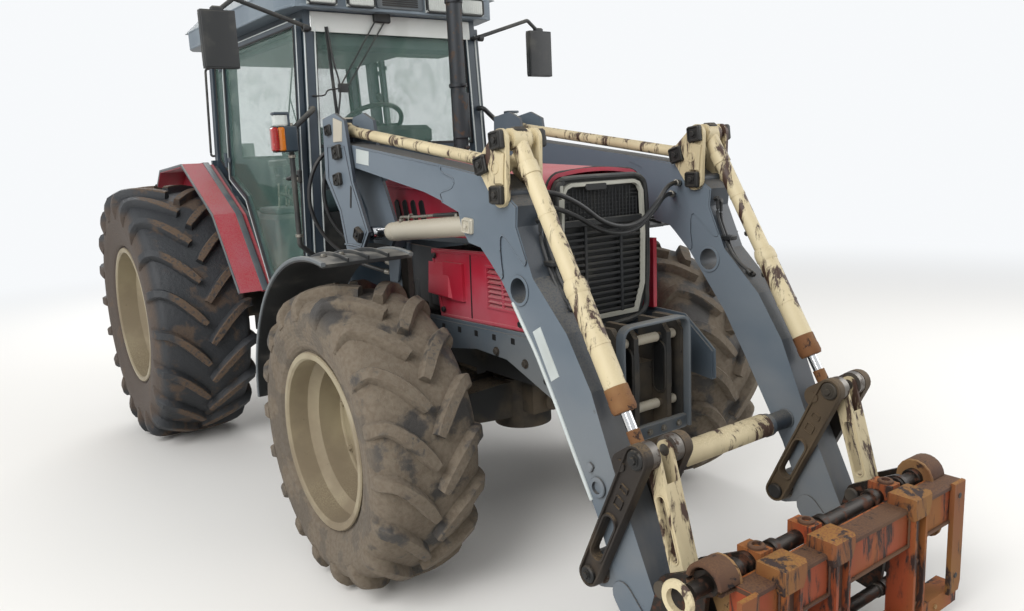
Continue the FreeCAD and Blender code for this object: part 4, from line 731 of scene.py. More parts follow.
@dataclass
class Wheel:
    """One wheel: a lugged tyre and a dished rim, drawn on the left and reflected for the right.

    Sizes are in metres. The casing's half section runs from the bead over the
    side wall to the crown, and each lug is a bar whose section is carried along
    a line on the casing from the crown to the side wall.
    """

    name: str
    side: int
    body: str
    radius: float
    width: float
    rim_radius: float
    rim_width: float
    disc_x: float
    hub_radius: float
    lugs: int
    lug_height: float
    lug_width: float
    sweep: float
    rubber: TyreRubber
    centre: tuple = field(init=False)

    def __post_init__(self) -> None:
        """Take the wheel's middle from the frame."""
        low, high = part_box(f"{self.name}_tyre_{self.tag}")
        middle = (low + high) / 2
        self.centre = (abs(middle.x), middle.y, middle.z)

    @property
    def tag(self) -> str:
        """Word for the wheel's side."""
        return "left" if self.side > 0 else "right"

    def casing_half(self, count: int = 14) -> Floats:
        """Half section of the casing as (x, radius) points from the bead to the crown."""
        half, casing = self.width / 2, self.radius - self.lug_height
        foot = self.rim_width / 2
        rise = casing - self.rim_radius
        return smooth_line([
            (foot - 0.004, self.rim_radius + 0.004), (foot + 0.018, self.rim_radius + 0.03),
            (half - 0.014, self.rim_radius + rise * 0.3), (half - 0.003, self.rim_radius + rise * 0.5),
            (half - 0.012, self.rim_radius + rise * 0.72), (half - 0.045, casing - 0.028),
            (half - 0.1, casing - 0.009), (half * 0.4, casing - 0.002), (0.0, casing)], count // 2)

    def casing(self) -> Shape:
        """Closed casing: both halves of the outer section and a bore on the rim's seat."""
        half = self.casing_half()
        bore = self.rim_radius - 0.022
        foot = self.rim_width / 2 - 0.001
        outer = np.vstack([half * (1, 1), (half * (-1, 1))[::-1][1:]])
        closed = np.vstack([(foot, bore), outer, (-foot, bore)])
        return lathe(closed, self.centre, 128)

    def lug(self, hand: int, number: int) -> Shape:
        """One lug: P = C + S a(v) + N h(v), with C on the casing, N its normal and S square to N and the line.

        Args:
            hand: Side of the tread, 1 outer and -1 inner.
            number: Place round the tread, counted in half pitches.

        Returns:
            The closed bar, sunk into the casing.
        """
        half = self.casing_half(24)[::-1]
        length = np.concatenate([[0], np.cumsum(np.linalg.norm(np.diff(half, axis=0), axis=1))])
        t = np.linspace(0, 1, 15)
        start, end = 0.012, length[-1] * 0.66
        s = start + (end - start) * t
        x, r = np.interp(s, length, half[:, 0]), np.interp(s, length, half[:, 1])
        slope = np.gradient(np.stack([x, r], -1), axis=0)
        slope /= np.linalg.norm(slope, axis=1)[:, None]
        shoulder = self.width / 2 - 0.05
        swing = self.sweep * (1 - (1 - np.clip(x / shoulder, 0, 1)) ** 1.35)
        angle = number * math.pi / self.lugs + swing
        face = np.stack([np.zeros_like(t), -np.cos(angle), np.sin(angle)], -1)
        line = np.array(self.centre) + face * r[:, None]
        line[:, 0] += hand * x
        normal = face * slope[:, :1]
        normal[:, 0] = -slope[:, 1] * hand
        ahead = np.gradient(line, axis=0)
        ahead /= np.linalg.norm(ahead, axis=1)[:, None]
        across = np.cross(normal, ahead)
        across /= np.linalg.norm(across, axis=1)[:, None]
        top, foot, tall = self.lug_width / 2, self.lug_width * 0.72, self.lug_height
        section = np.array([(-foot, -0.012), (-foot * 0.93, 0.0), (-top * 1.08, tall * 0.82), (-top * 0.86, tall),
                            (top * 0.86, tall), (top * 1.08, tall * 0.82), (foot * 0.93, 0.0), (foot, -0.012)])
        fade = np.ones_like(t)
        fade[-5:] = (0.86, 0.7, 0.5, 0.3, 0.12)
        wide = np.ones_like(t)
        wide[:2] = (0.72, 0.92)
        wide[-4:] = (1.02, 1.05, 1.05, 0.95)
        a = section[None, :, 0] * wide[:, None]
        h = np.where(section[None, :, 1] > 0, section[None, :, 1] * fade[:, None], section[None, :, 1])
        points = line[:, None] + across[:, None] * a[..., None] + normal[:, None] * h[..., None]
        return sheet_of(points, wrap_v=True, cap=True)

    def rim_shapes(self) -> list[Shape]:
        """Barrel with rolled lips, a well and a deep dish, with its ring of bolts."""
        w, edge = self.rim_width / 2, self.rim_radius
        seat, well = edge - 0.024, edge - 0.062
        wall, flat = 0.01, w * 0.42
        outer = self.disc_x
        cx, cy, cz = self.centre
        barrel = [(-w - 0.012, edge - 0.004), (-w - 0.006, edge), (-w, edge - 0.003), (-w, seat), (-flat - 0.038, seat),
                  (-flat, well), (flat, well), (flat + 0.038, seat), (w, seat), (w, edge - 0.003), (w + 0.006, edge),
                  (w + 0.012, edge - 0.004), (w + 0.012, seat - 0.002), (w + 0.004, seat - wall),
                  (flat + 0.03, seat - wall), (flat - 0.008, well - wall), (-flat + 0.008, well - wall),
                  (-flat - 0.03, seat - wall), (-w - 0.004, seat - wall), (-w - 0.012, seat - 0.002)]
        face = smooth_line([(outer, 0.02), (outer, self.hub_radius * 0.6), (outer + 0.002, self.hub_radius),
                            (outer + 0.022, self.hub_radius + 0.03), (outer + 0.047, self.hub_radius + 0.062),
                            (outer + 0.052, (self.hub_radius + well) / 2 + 0.03), (outer + 0.05, well - 0.02),
                            (outer + 0.062, well - 0.004)], 4)
        back = face[::-1] - (0.014, 0.0)
        shapes = [lathe(barrel, self.centre, 112), lathe(np.vstack([face, back]), self.centre, 112)]
        for place in range(8):
            turn = place * math.tau / 8 + 0.2
            r = well - 0.045
            spot = (cx + outer + 0.052, cy + r * math.cos(turn), cz + r * math.sin(turn))
            shapes += hex_bolt(spot, (1, 0, 0), 0.014, 0.012)
        return shapes

    def hub_shapes(self) -> list[Shape]:
        """Hub cap with its ring of wheel nuts, on the dish's middle."""
        cx, cy, cz = self.centre
        x, r = cx + self.disc_x, self.hub_radius
        cap = [(0.0, 0.002), (0.0, r * 0.86), (0.012, r * 0.86), (0.014, r * 0.6), (0.055, r * 0.56), (0.068, r * 0.5),
               (0.072, r * 0.2), (0.074, 0.002)]
        shapes = [lathe([(a + x, b) for a, b in cap], (0.0, cy, cz), 64)]
        for place in range(10):
            turn = place * math.tau / 10
            spot = (x + 0.012, cy + r * 0.74 * math.cos(turn), cz + r * 0.74 * math.sin(turn))
            shapes += hex_bolt(spot, (1, 0, 0), 0.013, 0.018)
        return shapes

    def build(self) -> None:
        """Make the tyre, rim and hub pieces."""
        lugs = [self.lug(hand, 2 * n + (hand < 0)) for n in range(self.lugs) for hand in HANDS]
        for part, whole, finish, shapes in (
                ("lugged_tyre", "tyre", self.rubber, [self.casing()] + lugs),
                ("dished_rim", "rim", Finish.RIM_CREAM, self.rim_shapes()),
                ("hub_cap", "", Finish.CAST_IRON, self.hub_shapes())):
            put(f"{self.name}_{part}_{self.tag}", finish, on_side(shapes, self.side), self.body, from_axle=False,
                replaces=(f"{self.name}_{whole}_{self.tag}",) if whole else ())


def build_wheels() -> None:
    """Make the four wheels."""
    rear, front = (tuple(JOINTS[f"{name}_wheel_left_spin"]["pos_m"][1:]) for name in ("rear", "front"))
    rear_rubber = TyreRubber("rear_tyre_rubber", "tyre_rubber", rear, 0.803, 0.85, "#2C2E31", "#6E5946", 0.28)
    front_rubber = TyreRubber("front_tyre_rubber", "tyre_rubber", front, 0.61, 0.65, "#35322F", "#766B5C", 0.72)
    for side, tag in SIDES:
        Wheel("rear", side, f"rear_wheel_{tag}", 0.85, 0.6, 0.455, 0.508, -0.07, 0.13, 20, 0.047, 0.046, 0.29,
              rear_rubber).build()
        Wheel("front", side, f"front_wheel_{tag}", 0.65, 0.47, 0.38, 0.392, -0.085, 0.15, 18, 0.04, 0.046, 0.33,
              front_rubber).build()


# Loader


@dataclass
class Loader:
    """Loader dressed with what is welded, bolted and pinned to it.

    Places are (y, z) in the side view from the rear axle. Each piece is drawn
    on the left and reflected for the right.
    """

    outer: float = 0.58
    inner: float = 0.46
    middle: float = 0.52
    arm_pivot: tuple = (-2.17, 1.845)
    link_pin: tuple = (-2.08, 1.953)
    crank_pivot: tuple = (-3.475, 1.655)
    crank_top: tuple = (-3.489, 1.848)
    crank_rear: tuple = (-3.385, 1.763)
    lift_mast: tuple = (-2.335, 1.455)
    lift_arm: tuple = (-3.243, 1.533)
    cast_foot: tuple = (-3.925, 0.372)
    knee: tuple = (-4.16, 0.85)
    rod_eye: tuple = (-4.092, 0.812)
    carrier_pin: tuple = (-4.272, 0.466)
    tube_end: tuple = (-3.94, 0.68)
    side_hole: tuple = (-3.54, 1.31)
    knee_plate: tuple = (
        (-3.06, 1.764), (-3.22, 1.742), (-3.378, 1.715), (-3.465, 1.663), (-3.546, 1.61), (-3.539, 1.54),
        (-3.562, 1.488), (-3.584, 1.442), (-3.593, 1.424), (-3.588, 1.411), (-3.575, 1.41), (-3.52, 1.458),
        (-3.472, 1.498), (-3.458, 1.506), (-3.446, 1.5), (-3.44, 1.48), (-3.44, 1.42), (-3.447, 1.366),
        (-3.445, 1.35), (-3.436, 1.344), (-3.425, 1.35), (-3.37, 1.402), (-3.312, 1.452), (-3.232, 1.466),
        (-3.187, 1.52), (-3.17, 1.584), (-3.11, 1.602), (-3.06, 1.617), (-3.045, 1.655), (-3.128, 1.676),
        (-3.148, 1.712), (-3.062, 1.742))

    def arms(self) -> None:
        """Knee plates, hole rims, name plates left blank, keepers and pipes on the arms."""
        out, knee = self.outer, self.knee_plate
        plates = [plate(knee, out - 0.002, out + 0.005, 0.002),
                  plate(knee, self.inner - 0.0045, self.inner + 0.002, 0.002)]
        plates += [weld(sided(run, out + 0.004)) for run in (knee[8:20], knee[27:] + knee[:1])]
        for x, way in ((out, 1), (self.inner, -1)):
            plates.append(collar((x, *self.side_hole), (way, 0, 0), 0.0465, 0.058, 0.005))
            plates.append(collar((x, *self.tube_end), (way, 0, 0), 0.022, 0.037, 0.012))
        plates.append(plate(tilted((-3.905, 0.742), 0.016, 0.014, -60), out - 0.002, out + 0.012))
        toe = strap((-4.05, 0.33), (-4.18, 0.19), 0.05, 0.06)
        plates.append(plate(toe, out - 0.002, out + 0.006, 0.002))
        plates.append(plate(toe, self.inner - 0.006, self.inner + 0.002, 0.002))
        plates.append(weld(sided([(-2.31, 1.862), (-2.66, 1.815), (-3.04, 1.764)], out), 0.003))
        put("arm_side_plates", Finish.ARM_GREY, both(plates), "loader_arms")
        corners = ([(-2.31, 1.856), (-2.435, 1.839), (-2.425, 1.775), (-2.3, 1.79)],
                   [(-3.612, 1.168), (-3.656, 1.192), (-3.752, 1.028), (-3.708, 1.002)])
        blanks = [plate(four, out - 0.001, out + 0.0022, 0.001) for four in corners]
        put("arm_blank_plates", Finish.PALE_PLATE, both(blanks), "loader_arms", slot="loader_blue")
        rear = [(-3.502, 1.262), (-3.56, 1.182), (-3.623, 1.099), (-3.68, 1.008), (-3.736, 0.916), (-3.815, 0.776),
                (-3.905, 0.622)]
        put("arm_edge_pipes", Finish.PALE_PLATE, both([tube(smooth_line(sided(rear, out + 0.002), 4), 0.0075)]),
            "loader_arms", slot="loader_cream")
        keepers = pin_block(self.lift_arm, out, 0.03, 5, 0.018)
        keepers += hex_bolt((out + 0.012, *self.cast_foot), (1, 0, 0), 0.02, 0.01)
        put("lift_pin_keepers", Finish.LIFT_CREAM, both(keepers), "loader_arms")
        self.arm_pipes()
        self.cross_sleeve()

    def arm_pipes(self) -> None:
        """Black pipes that run down the front of each arm beside the tool cylinder, in clips."""
        shapes = []
        for x, shift in ((self.inner + 0.016, 0.0), (self.inner + 0.038, -0.012)):
            line = [(x, -3.575, 1.565 + shift), (x, -3.572, 1.5 + shift), (x, -3.628, 1.375 + shift),
                    (x, -3.668, 1.318 + shift), (x + 0.004, -3.735, 1.27 + shift)]
            shapes.append(tube(bent_line(line, 0.05), 0.007, 10))
            shapes.append(collar((x + 0.004, -3.728, 1.275 + shift), (0, -0.8, -0.58), 0.006, 0.0125, 0.022))
            shapes.append(stud((x, -3.56, 1.568 + shift), (0, -1, 0.3), 0.012, 0.02, 6))
        shapes.append(block((self.inner + 0.004, -3.652, 1.395), (self.inner + 0.052, -3.592, 1.415), 0.004))
        put("arm_oil_pipes", Finish.HOSE, both(shapes), "loader_arms")

    def cross_sleeve(self) -> None:
        """Cream half sleeve over the tube that joins the arms, with straps and a dark bush at its end."""
        turn = np.radians(np.linspace(-115, 115, 22))
        outer, bore = 0.051, 0.0385
        ring = np.vstack([np.stack([np.sin(turn), np.cos(turn)], -1) * outer,
                          np.stack([np.sin(turn), np.cos(turn)], -1)[::-1] * bore])
        path = np.array([(x, *self.tube_end) for x in np.linspace(-0.19, 0.31, 9)])
        sleeve = carried(path, ring)
        put("cross_tube_sleeve", Finish.LINK_CREAM, [sleeve], "loader_arms")
        bush = [collar((x, *self.tube_end), (1, 0, 0), 0.0375, 0.046, 0.03) for x in (-0.222, 0.312)]
        bush += [collar((x, *self.tube_end), (1, 0, 0), 0.0375, 0.0405, 0.008) for x in (-0.458, 0.45)]
        put("cross_tube_bushes", Finish.FRAME_GREY, bush, "loader_arms")

    def masts(self) -> None:
        """Keepers, top cover, slot and stiffeners on the masts."""
        face = 0.604
        blocks = pin_block(self.arm_pivot, face, 0.034, -8) + pin_block((-2.155, 1.716), face, 0.03, -8)
        blocks += pin_block(self.lift_mast, face, 0.031, 28) + pin_block(self.link_pin, face, 0.026, -8, 0.012)
        put("mast_pin_keepers", Finish.PIN_BLOCK, both(blocks))
        cover = [plate([(-2.122, 1.893), (-2.215, 1.893), (-2.232, 1.985), (-2.14, 2.008)], face - 0.002, face + 0.005)]
        cover.append(plate([(-2.003, 2.008), (-2.034, 2.008), (-2.034, 2.016), (-2.003, 2.016)], 0.44, 0.6, 0.003))
        put("mast_top_covers", Finish.LIFT_CREAM, both(cover))
        trim = [lip([(-2.04, 1.88), (-2.236, 1.872), (-2.284, 1.7), (-2.404, 1.472), (-2.326, 1.382), (-2.184, 1.386),
                     (-2.136, 1.56), (-2.022, 1.716)], face - 0.001, face + 0.004, 0.012)]
        trim.append(weld(sided([(-2.16, 1.4), (-2.245, 1.4), (-2.33, 1.395)], face + 0.001), 0.005))
        put("mast_rims", Finish.ARM_GREY, both(trim))
        dark = [plate(tilted((-2.262, 1.632), 0.008, 0.055, 12, 0.007), face - 0.001, face + 0.0015, 0.0005)]
        put("mast_slots", Finish.SEAL, both(dark))

    def cranks(self) -> None:
        """Faceted covers and dark pin keepers on both faces of the bell cranks."""
        blocks, covers = [], []
        facet = [(-3.402, 1.79), (-3.445, 1.846), (-3.482, 1.812), (-3.52, 1.8), (-3.512, 1.74), (-3.508, 1.69),
                 (-3.458, 1.69), (-3.432, 1.728)]
        for x, flip in ((0.602, 1), (0.438, -1)):
            shapes = []
            for place, turn in ((self.crank_top, -6), (self.crank_rear, -14), (self.crank_pivot, 0)):
                shapes += pin_block(place, 0.0, 0.034, turn, 0.02)
            shapes = [Shape(s.points * (flip, 1, 1) + (x, 0, 0), s.faces) for s in shapes]
            blocks += shapes
            over = [plate(facet, -0.002, 0.01, 0.007), collar((0.008, -3.468, 1.752), (1, 0, 0), 0.016, 0.024, 0.005)]
            covers += [Shape(s.points * (flip, 1, 1) + (x, 0, 0), s.faces) for s in over]
        put("crank_pin_keepers", Finish.PIN_BLOCK, both(blocks), "bell_cranks")
        put("crank_covers", Finish.LINK_CREAM, both(covers), "bell_cranks")

    def link_ends(self) -> None:
        """Collars and greasers at the ends of the levelling links."""
        way = np.array(self.crank_rear) - np.array(self.link_pin)
        axis = (0.0, *(way / np.linalg.norm(way)))
        back = tuple(-a for a in axis)
        shapes = []
        for start, turn in ((self.link_pin, axis), (self.crank_rear, back)):
            spot = np.array((self.middle, *start)) + np.array(turn) * 0.034
            shapes.append(turned([(0.0245, 0.0), (0.032, 0.0), (0.0325, 0.03), (0.026, 0.07), (0.0245, 0.07)], turn,
                                 tuple(spot)))
        put("link_collars", Finish.LINK_CREAM, both(shapes), "levelling_links")
        knobs = [stud((self.middle, start[0], start[1] + 0.033), (0, 0, 1), 0.006, 0.012, 8)
                 for start in (self.link_pin, self.crank_rear)]
        put("link_greasers", Finish.BOLT_STEEL, both(knobs), "levelling_links")

    def lift_cylinders(self) -> None:
        """Rounded gland, pipe with its clip and hose end on the lift barrels."""
        axis = tuple((np.array(self.lift_mast) - np.array(self.lift_arm))
                     / np.linalg.norm(np.array(self.lift_mast) - np.array(self.lift_arm)))
        end = between(self.lift_arm, self.lift_mast, 0.738)
        dome = turned([(0.0235, 0.0), (0.0435, 0.0), (0.0428, 0.01), (0.039, 0.019), (0.033, 0.025), (0.0235, 0.027)],
                      (0, *axis), (self.middle, *end))
        seam = collar((self.middle, *between(self.lift_arm, self.lift_mast, 0.69)), (0, *axis), 0.0425, 0.045, 0.008)
        foot = turned([(0.0425, 0.0), (0.046, 0.0), (0.047, 0.02), (0.0425, 0.028)], (0, *axis),
                      (self.middle, *between(self.lift_arm, self.lift_mast, 0.055)))
        put("lift_barrel_ends", Finish.LIFT_CREAM, both([dome, seam, foot]), "lift_barrels")
        x = self.middle + 0.012
        line = sided([(-2.61, 1.52), (-2.606, 1.541), (-2.76, 1.548), (-2.9, 1.558), (-3.03, 1.566),
                      (-3.08, 1.57)], x)
        pipe = [tube(bent_line(line[:4], 0.02), 0.0065), stud((x, -2.61, 1.518), (0, 0, 1), 0.013, 0.014, 6),
                stud((x, -3.075, 1.557), (0, 0, 1), 0.011, 0.016, 6)]
        pipe.append(tube(bent_line([(x - 0.014, -2.7, 1.53), (x - 0.01, -2.7, 1.556), (x + 0.01, -2.7, 1.556),
                                    (x + 0.014, -2.7, 1.53)], 0.012), 0.003, 8))
        put("lift_oil_pipes", Finish.BOLT_STEEL, both(pipe), "lift_barrels")
        put("lift_pipe_hoses", Finish.HOSE, both([tube(bent_line(line[3:], 0.03), 0.0085)]), "lift_barrels")

    def tool_cylinders(self) -> None:
        """Step collar, gland, ports and clevis on the tool barrels, with rust at the rod's end."""
        run = np.array(self.rod_eye) - np.array(self.crank_top)
        axis = (0.0, *(run / np.linalg.norm(run)))

        def on(distance: float) -> tuple:
            """Place on the cylinder's axis at a distance from its upper pin."""
            return (self.middle, *between(self.crank_top, self.rod_eye, distance))

        cream = [turned([(0.0315, 0.0), (0.036, 0.0), (0.043, 0.02), (0.0435, 0.05), (0.0405, 0.056), (0.0315, 0.056)],
                        axis, on(0.562)),
                 collar(on(0.1), axis, 0.0315, 0.0365, 0.05),
                 collar(on(0.3), axis, 0.0315, 0.0335, 0.012),
                 collar(on(0.8), axis, 0.0395, 0.0418, 0.01)]
        put("tool_barrel_collars", Finish.LINK_CREAM, both(cream), "tool_barrels")
        rust = [collar(on(0.955), axis, 0.0395, 0.0425, 0.05),
                turned([(0.021, 0.0), (0.044, 0.0), (0.0445, 0.03), (0.04, 0.042), (0.021, 0.044)], axis, on(1.0))]
        put("tool_barrel_glands", Finish.RUST, both(rust), "tool_barrels")
        side = np.array((0.0, axis[2], -axis[1]))
        port = []
        for distance, radius in ((0.47, 0.0325), (0.66, 0.0405)):
            spot = np.array(on(distance)) - side * (radius - 0.004)
            port.append(stud(tuple(spot), tuple(-side), 0.012, 0.016, 6))
        port.append(block((self.middle - 0.03, self.crank_top[0] - 0.028, self.crank_top[1] - 0.03),
                          (self.middle + 0.03, self.crank_top[0] + 0.022, self.crank_top[1] + 0.045), 0.014))
        put("tool_barrel_ports", Finish.PIN_BLOCK, both(port), "tool_barrels")
        shank = [collar(on(1.105), axis, 0.0185, 0.0235, 0.07)]
        put("tool_rod_shanks", Finish.RUST, both(shank), "tool_rods")

    def end_links(self) -> None:
        """Rims, slots and keepers on the forged links, and the push links' ribs."""
        shapes = []
        slot = strap(between(self.cast_foot, self.knee, 0.11), between(self.cast_foot, self.knee, 0.25),
                     0.036, 0.036, 10)
        slope = math.degrees(math.atan2(self.knee[1] - self.cast_foot[1], self.knee[0] - self.cast_foot[0]))
        for x0, x1 in ((0.619, 0.63), (0.421, 0.41)):
            shapes.append(lip(strap(self.cast_foot, self.knee, 0.045, 0.048, 12), x0, x1, 0.012))
            shapes.append(lip(slot, x0, x1, 0.0115))
            for share, half in ((0.345, 0.022), (0.405, 0.014)):
                shapes.append(lip(tilted(between(self.cast_foot, self.knee, share), half, 0.02, slope), x0,
                                  x1 * 0.6 + x0 * 0.4, 0.006))
        put("forged_link_rims", Finish.CAST_LINK, both(shapes), "cast_links")
        foot = self.cast_foot
        caps = [stud((0.62, *foot), (1, 0, 0), 0.031, 0.014), stud((0.42, *foot), (-1, 0, 0), 0.031, 0.014)]
        caps += hex_bolt((0.634, *foot), (1, 0, 0), 0.013, 0.008)
        put("forged_link_keepers", Finish.PIN_BLOCK, both(caps), "cast_link_pins")
        tops = []
        for x, way in ((0.62, 1), (0.42, -1)):
            tops.append(stud((x, *self.knee), (way, 0, 0), 0.034, 0.012))
            tops += hex_bolt((x + 0.012 * way, *self.knee), (way, 0, 0), 0.014)
        put("knee_pin_heads", Finish.PIN_BLOCK, both(tops), "knee_pins")
        line = strap(between(self.knee, self.carrier_pin, 0.15), between(self.knee, self.carrier_pin, 0.33),
                     0.022, 0.022, 8)
        ribs = [lip(line, self.middle + way * 0.036, self.middle + way * 0.04, 0.005) for way in HANDS]
        put("push_link_ribs", Finish.LINK_CREAM, both(ribs), "push_links")

    def couplers(self) -> None:
        """Two quick couplers behind the link at the near mast, on a bent bracket."""
        shapes = []
        for shift in (0.0, 0.034):
            spot = np.array((-0.43, -2.3 - shift, 1.8 + shift * 0.2))
            axis = (0.05, -0.86, -0.42)
            shapes += [collar(tuple(spot), axis, 0.004, 0.013, 0.05),
                       collar(tuple(spot + np.array(axis) * 0.05), axis, 0.004, 0.0165, 0.022),
                       stud(tuple(spot - np.array(axis) * 0.02), axis, 0.011, 0.02, 6)]
        put("quick_couplers", Finish.BOLT_STEEL, shapes)
        plates = [block((-0.448, -2.36, 1.765), (-0.418, -2.27, 1.785), 0.004),
                  block((-0.45, -2.34, 1.7), (-0.442, -2.29, 1.785), 0.003)]
        put("coupler_bracket", Finish.FRAME_GREY, plates)

    def build(self) -> None:
        """Make every piece of the loader's dressing."""
        self.arms()
        self.masts()
        self.cranks()
        self.link_ends()
        self.lift_cylinders()
        self.tool_cylinders()
        self.end_links()
        self.couplers()


@dataclass
class Hose:
    """Free hose drawn from its route, with crimped ends, as one cord."""

    name: str
    body: str
    length: float
    points: tuple
    radius: float = 0.01

    def build(self) -> None:
        """Make the curve, its collars and the cord."""
        curve = bpy.data.curves.new(self.name, "CURVE")
        curve.dimensions, curve.bevel_depth, curve.bevel_resolution = "3D", self.radius, 4
        curve.use_fill_caps = True
        spline = curve.splines.new("NURBS")
        spline.points.add(len(self.points) - 1)
        for spot, point in zip(self.points, spline.points):
            point.co = (*at(*(value / 1000 for value in spot)), 1.0)
        spline.order_u, spline.use_endpoint_u, spline.resolution_u = 3, True, 10
        made = new_object(self.name + "_skin", curve)
        curve.materials.append(Finish.HOSE.material())
        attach(made, self.body)
        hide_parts(self.name)
        route = [np.array(spot, float) / 1000 for spot in self.points]
        at(*route[0])
        collars = [collar(tuple(a), tuple(b - a), self.radius - 0.0005, self.radius + 0.004, 0.032)
                   for a, b in ((route[0], route[1]), (route[-1], route[-2]))]
        put(self.name + "_crimps", Finish.BOLT_STEEL, collars, self.body)


def build_hoses() -> None:
    """Make the two hoses between the arms and the two beside the mast."""
    Hose("arm_hose_upper", "loader_arms", 0.986, (
        (-440, -3385, 1640), (-345, -3420, 1660), (-205, -3450, 1600), (-60, -3455, 1495), (110, -3455, 1480),
        (235, -3450, 1565), (345, -3420, 1650), (440, -3385, 1640))).build()
    Hose("arm_hose_lower", "loader_arms", 0.975, (
        (-440, -3350, 1590), (-355, -3395, 1605), (-210, -3425, 1555), (-55, -3430, 1465), (115, -3430, 1450),
        (240, -3425, 1530), (350, -3395, 1605), (440, -3350, 1590))).build()
    Hose("mast_hose_outer", "tractor", 0.9635, (
        (-520, -1985, 1880), (-555, -1925, 1860), (-605, -1890, 1800), (-643, -1872, 1705), (-652, -1865, 1590),
        (-620, -1868, 1478), (-560, -1893, 1378), (-485, -1950, 1300), (-412, -2032, 1250),
        (-352, -2128, 1225))).build()
    Hose("mast_hose_inner", "tractor", 0.817, (
        (-485, -1985, 1835), (-515, -1925, 1815), (-550, -1888, 1765), (-572, -1876, 1680), (-570, -1876, 1575),
        (-538, -1890, 1478), (-485, -1925, 1395), (-420, -1993, 1330), (-365, -2065, 1290),
        (-345, -2128, 1272))).build()


def faced(shape: Shape) -> Shape:
    """A piece drawn in the side view, turned to face along the machine: x and y change places."""
    return Shape(shape.points[:, [1, 0, 2]], [tuple(reversed(face)) for face in shape.faces])


def drawn_in(outline: list, distance: float) -> Floats:
    """Closed outline with each edge moved inwards: P' = P + d (n1 + n2) / (1 + n1 n2) at each corner."""
    flat = np.array(outline, float)
    after = np.roll(flat, -1, 0)
    area = float(np.sum(flat[:, 0] * after[:, 1] - after[:, 0] * flat[:, 1]))
    ahead = (after - flat) / np.linalg.norm(after - flat, axis=1)[:, None]
    inward = np.stack([-ahead[:, 1], ahead[:, 0]], -1) * math.copysign(1.0, area)
    before = np.roll(inward, 1, 0)
    share = 1 + np.sum(before * inward, axis=1)[:, None]
    return flat + distance * (before + inward) / share


def framed(outline: list, x0: float, x1: float, width: float, inset: float = 0.0) -> Shape:
    """Flat trim of one width that follows a closed side-view outline with sharp corners."""
    outer, inner = drawn_in(outline, inset), drawn_in(outline, inset + width)
    near, far = drawn_in(outline, inset + 0.15 * width), drawn_in(outline, inset + 0.85 * width)
    rings = [np.column_stack([np.full(len(ring), x), ring])
             for x, ring in ((x0, outer), (x1, near), (x1, far), (x0, inner))]
    return sheet_of(np.array(rings), wrap_u=True, wrap_v=True)


# Nose, hood and panels


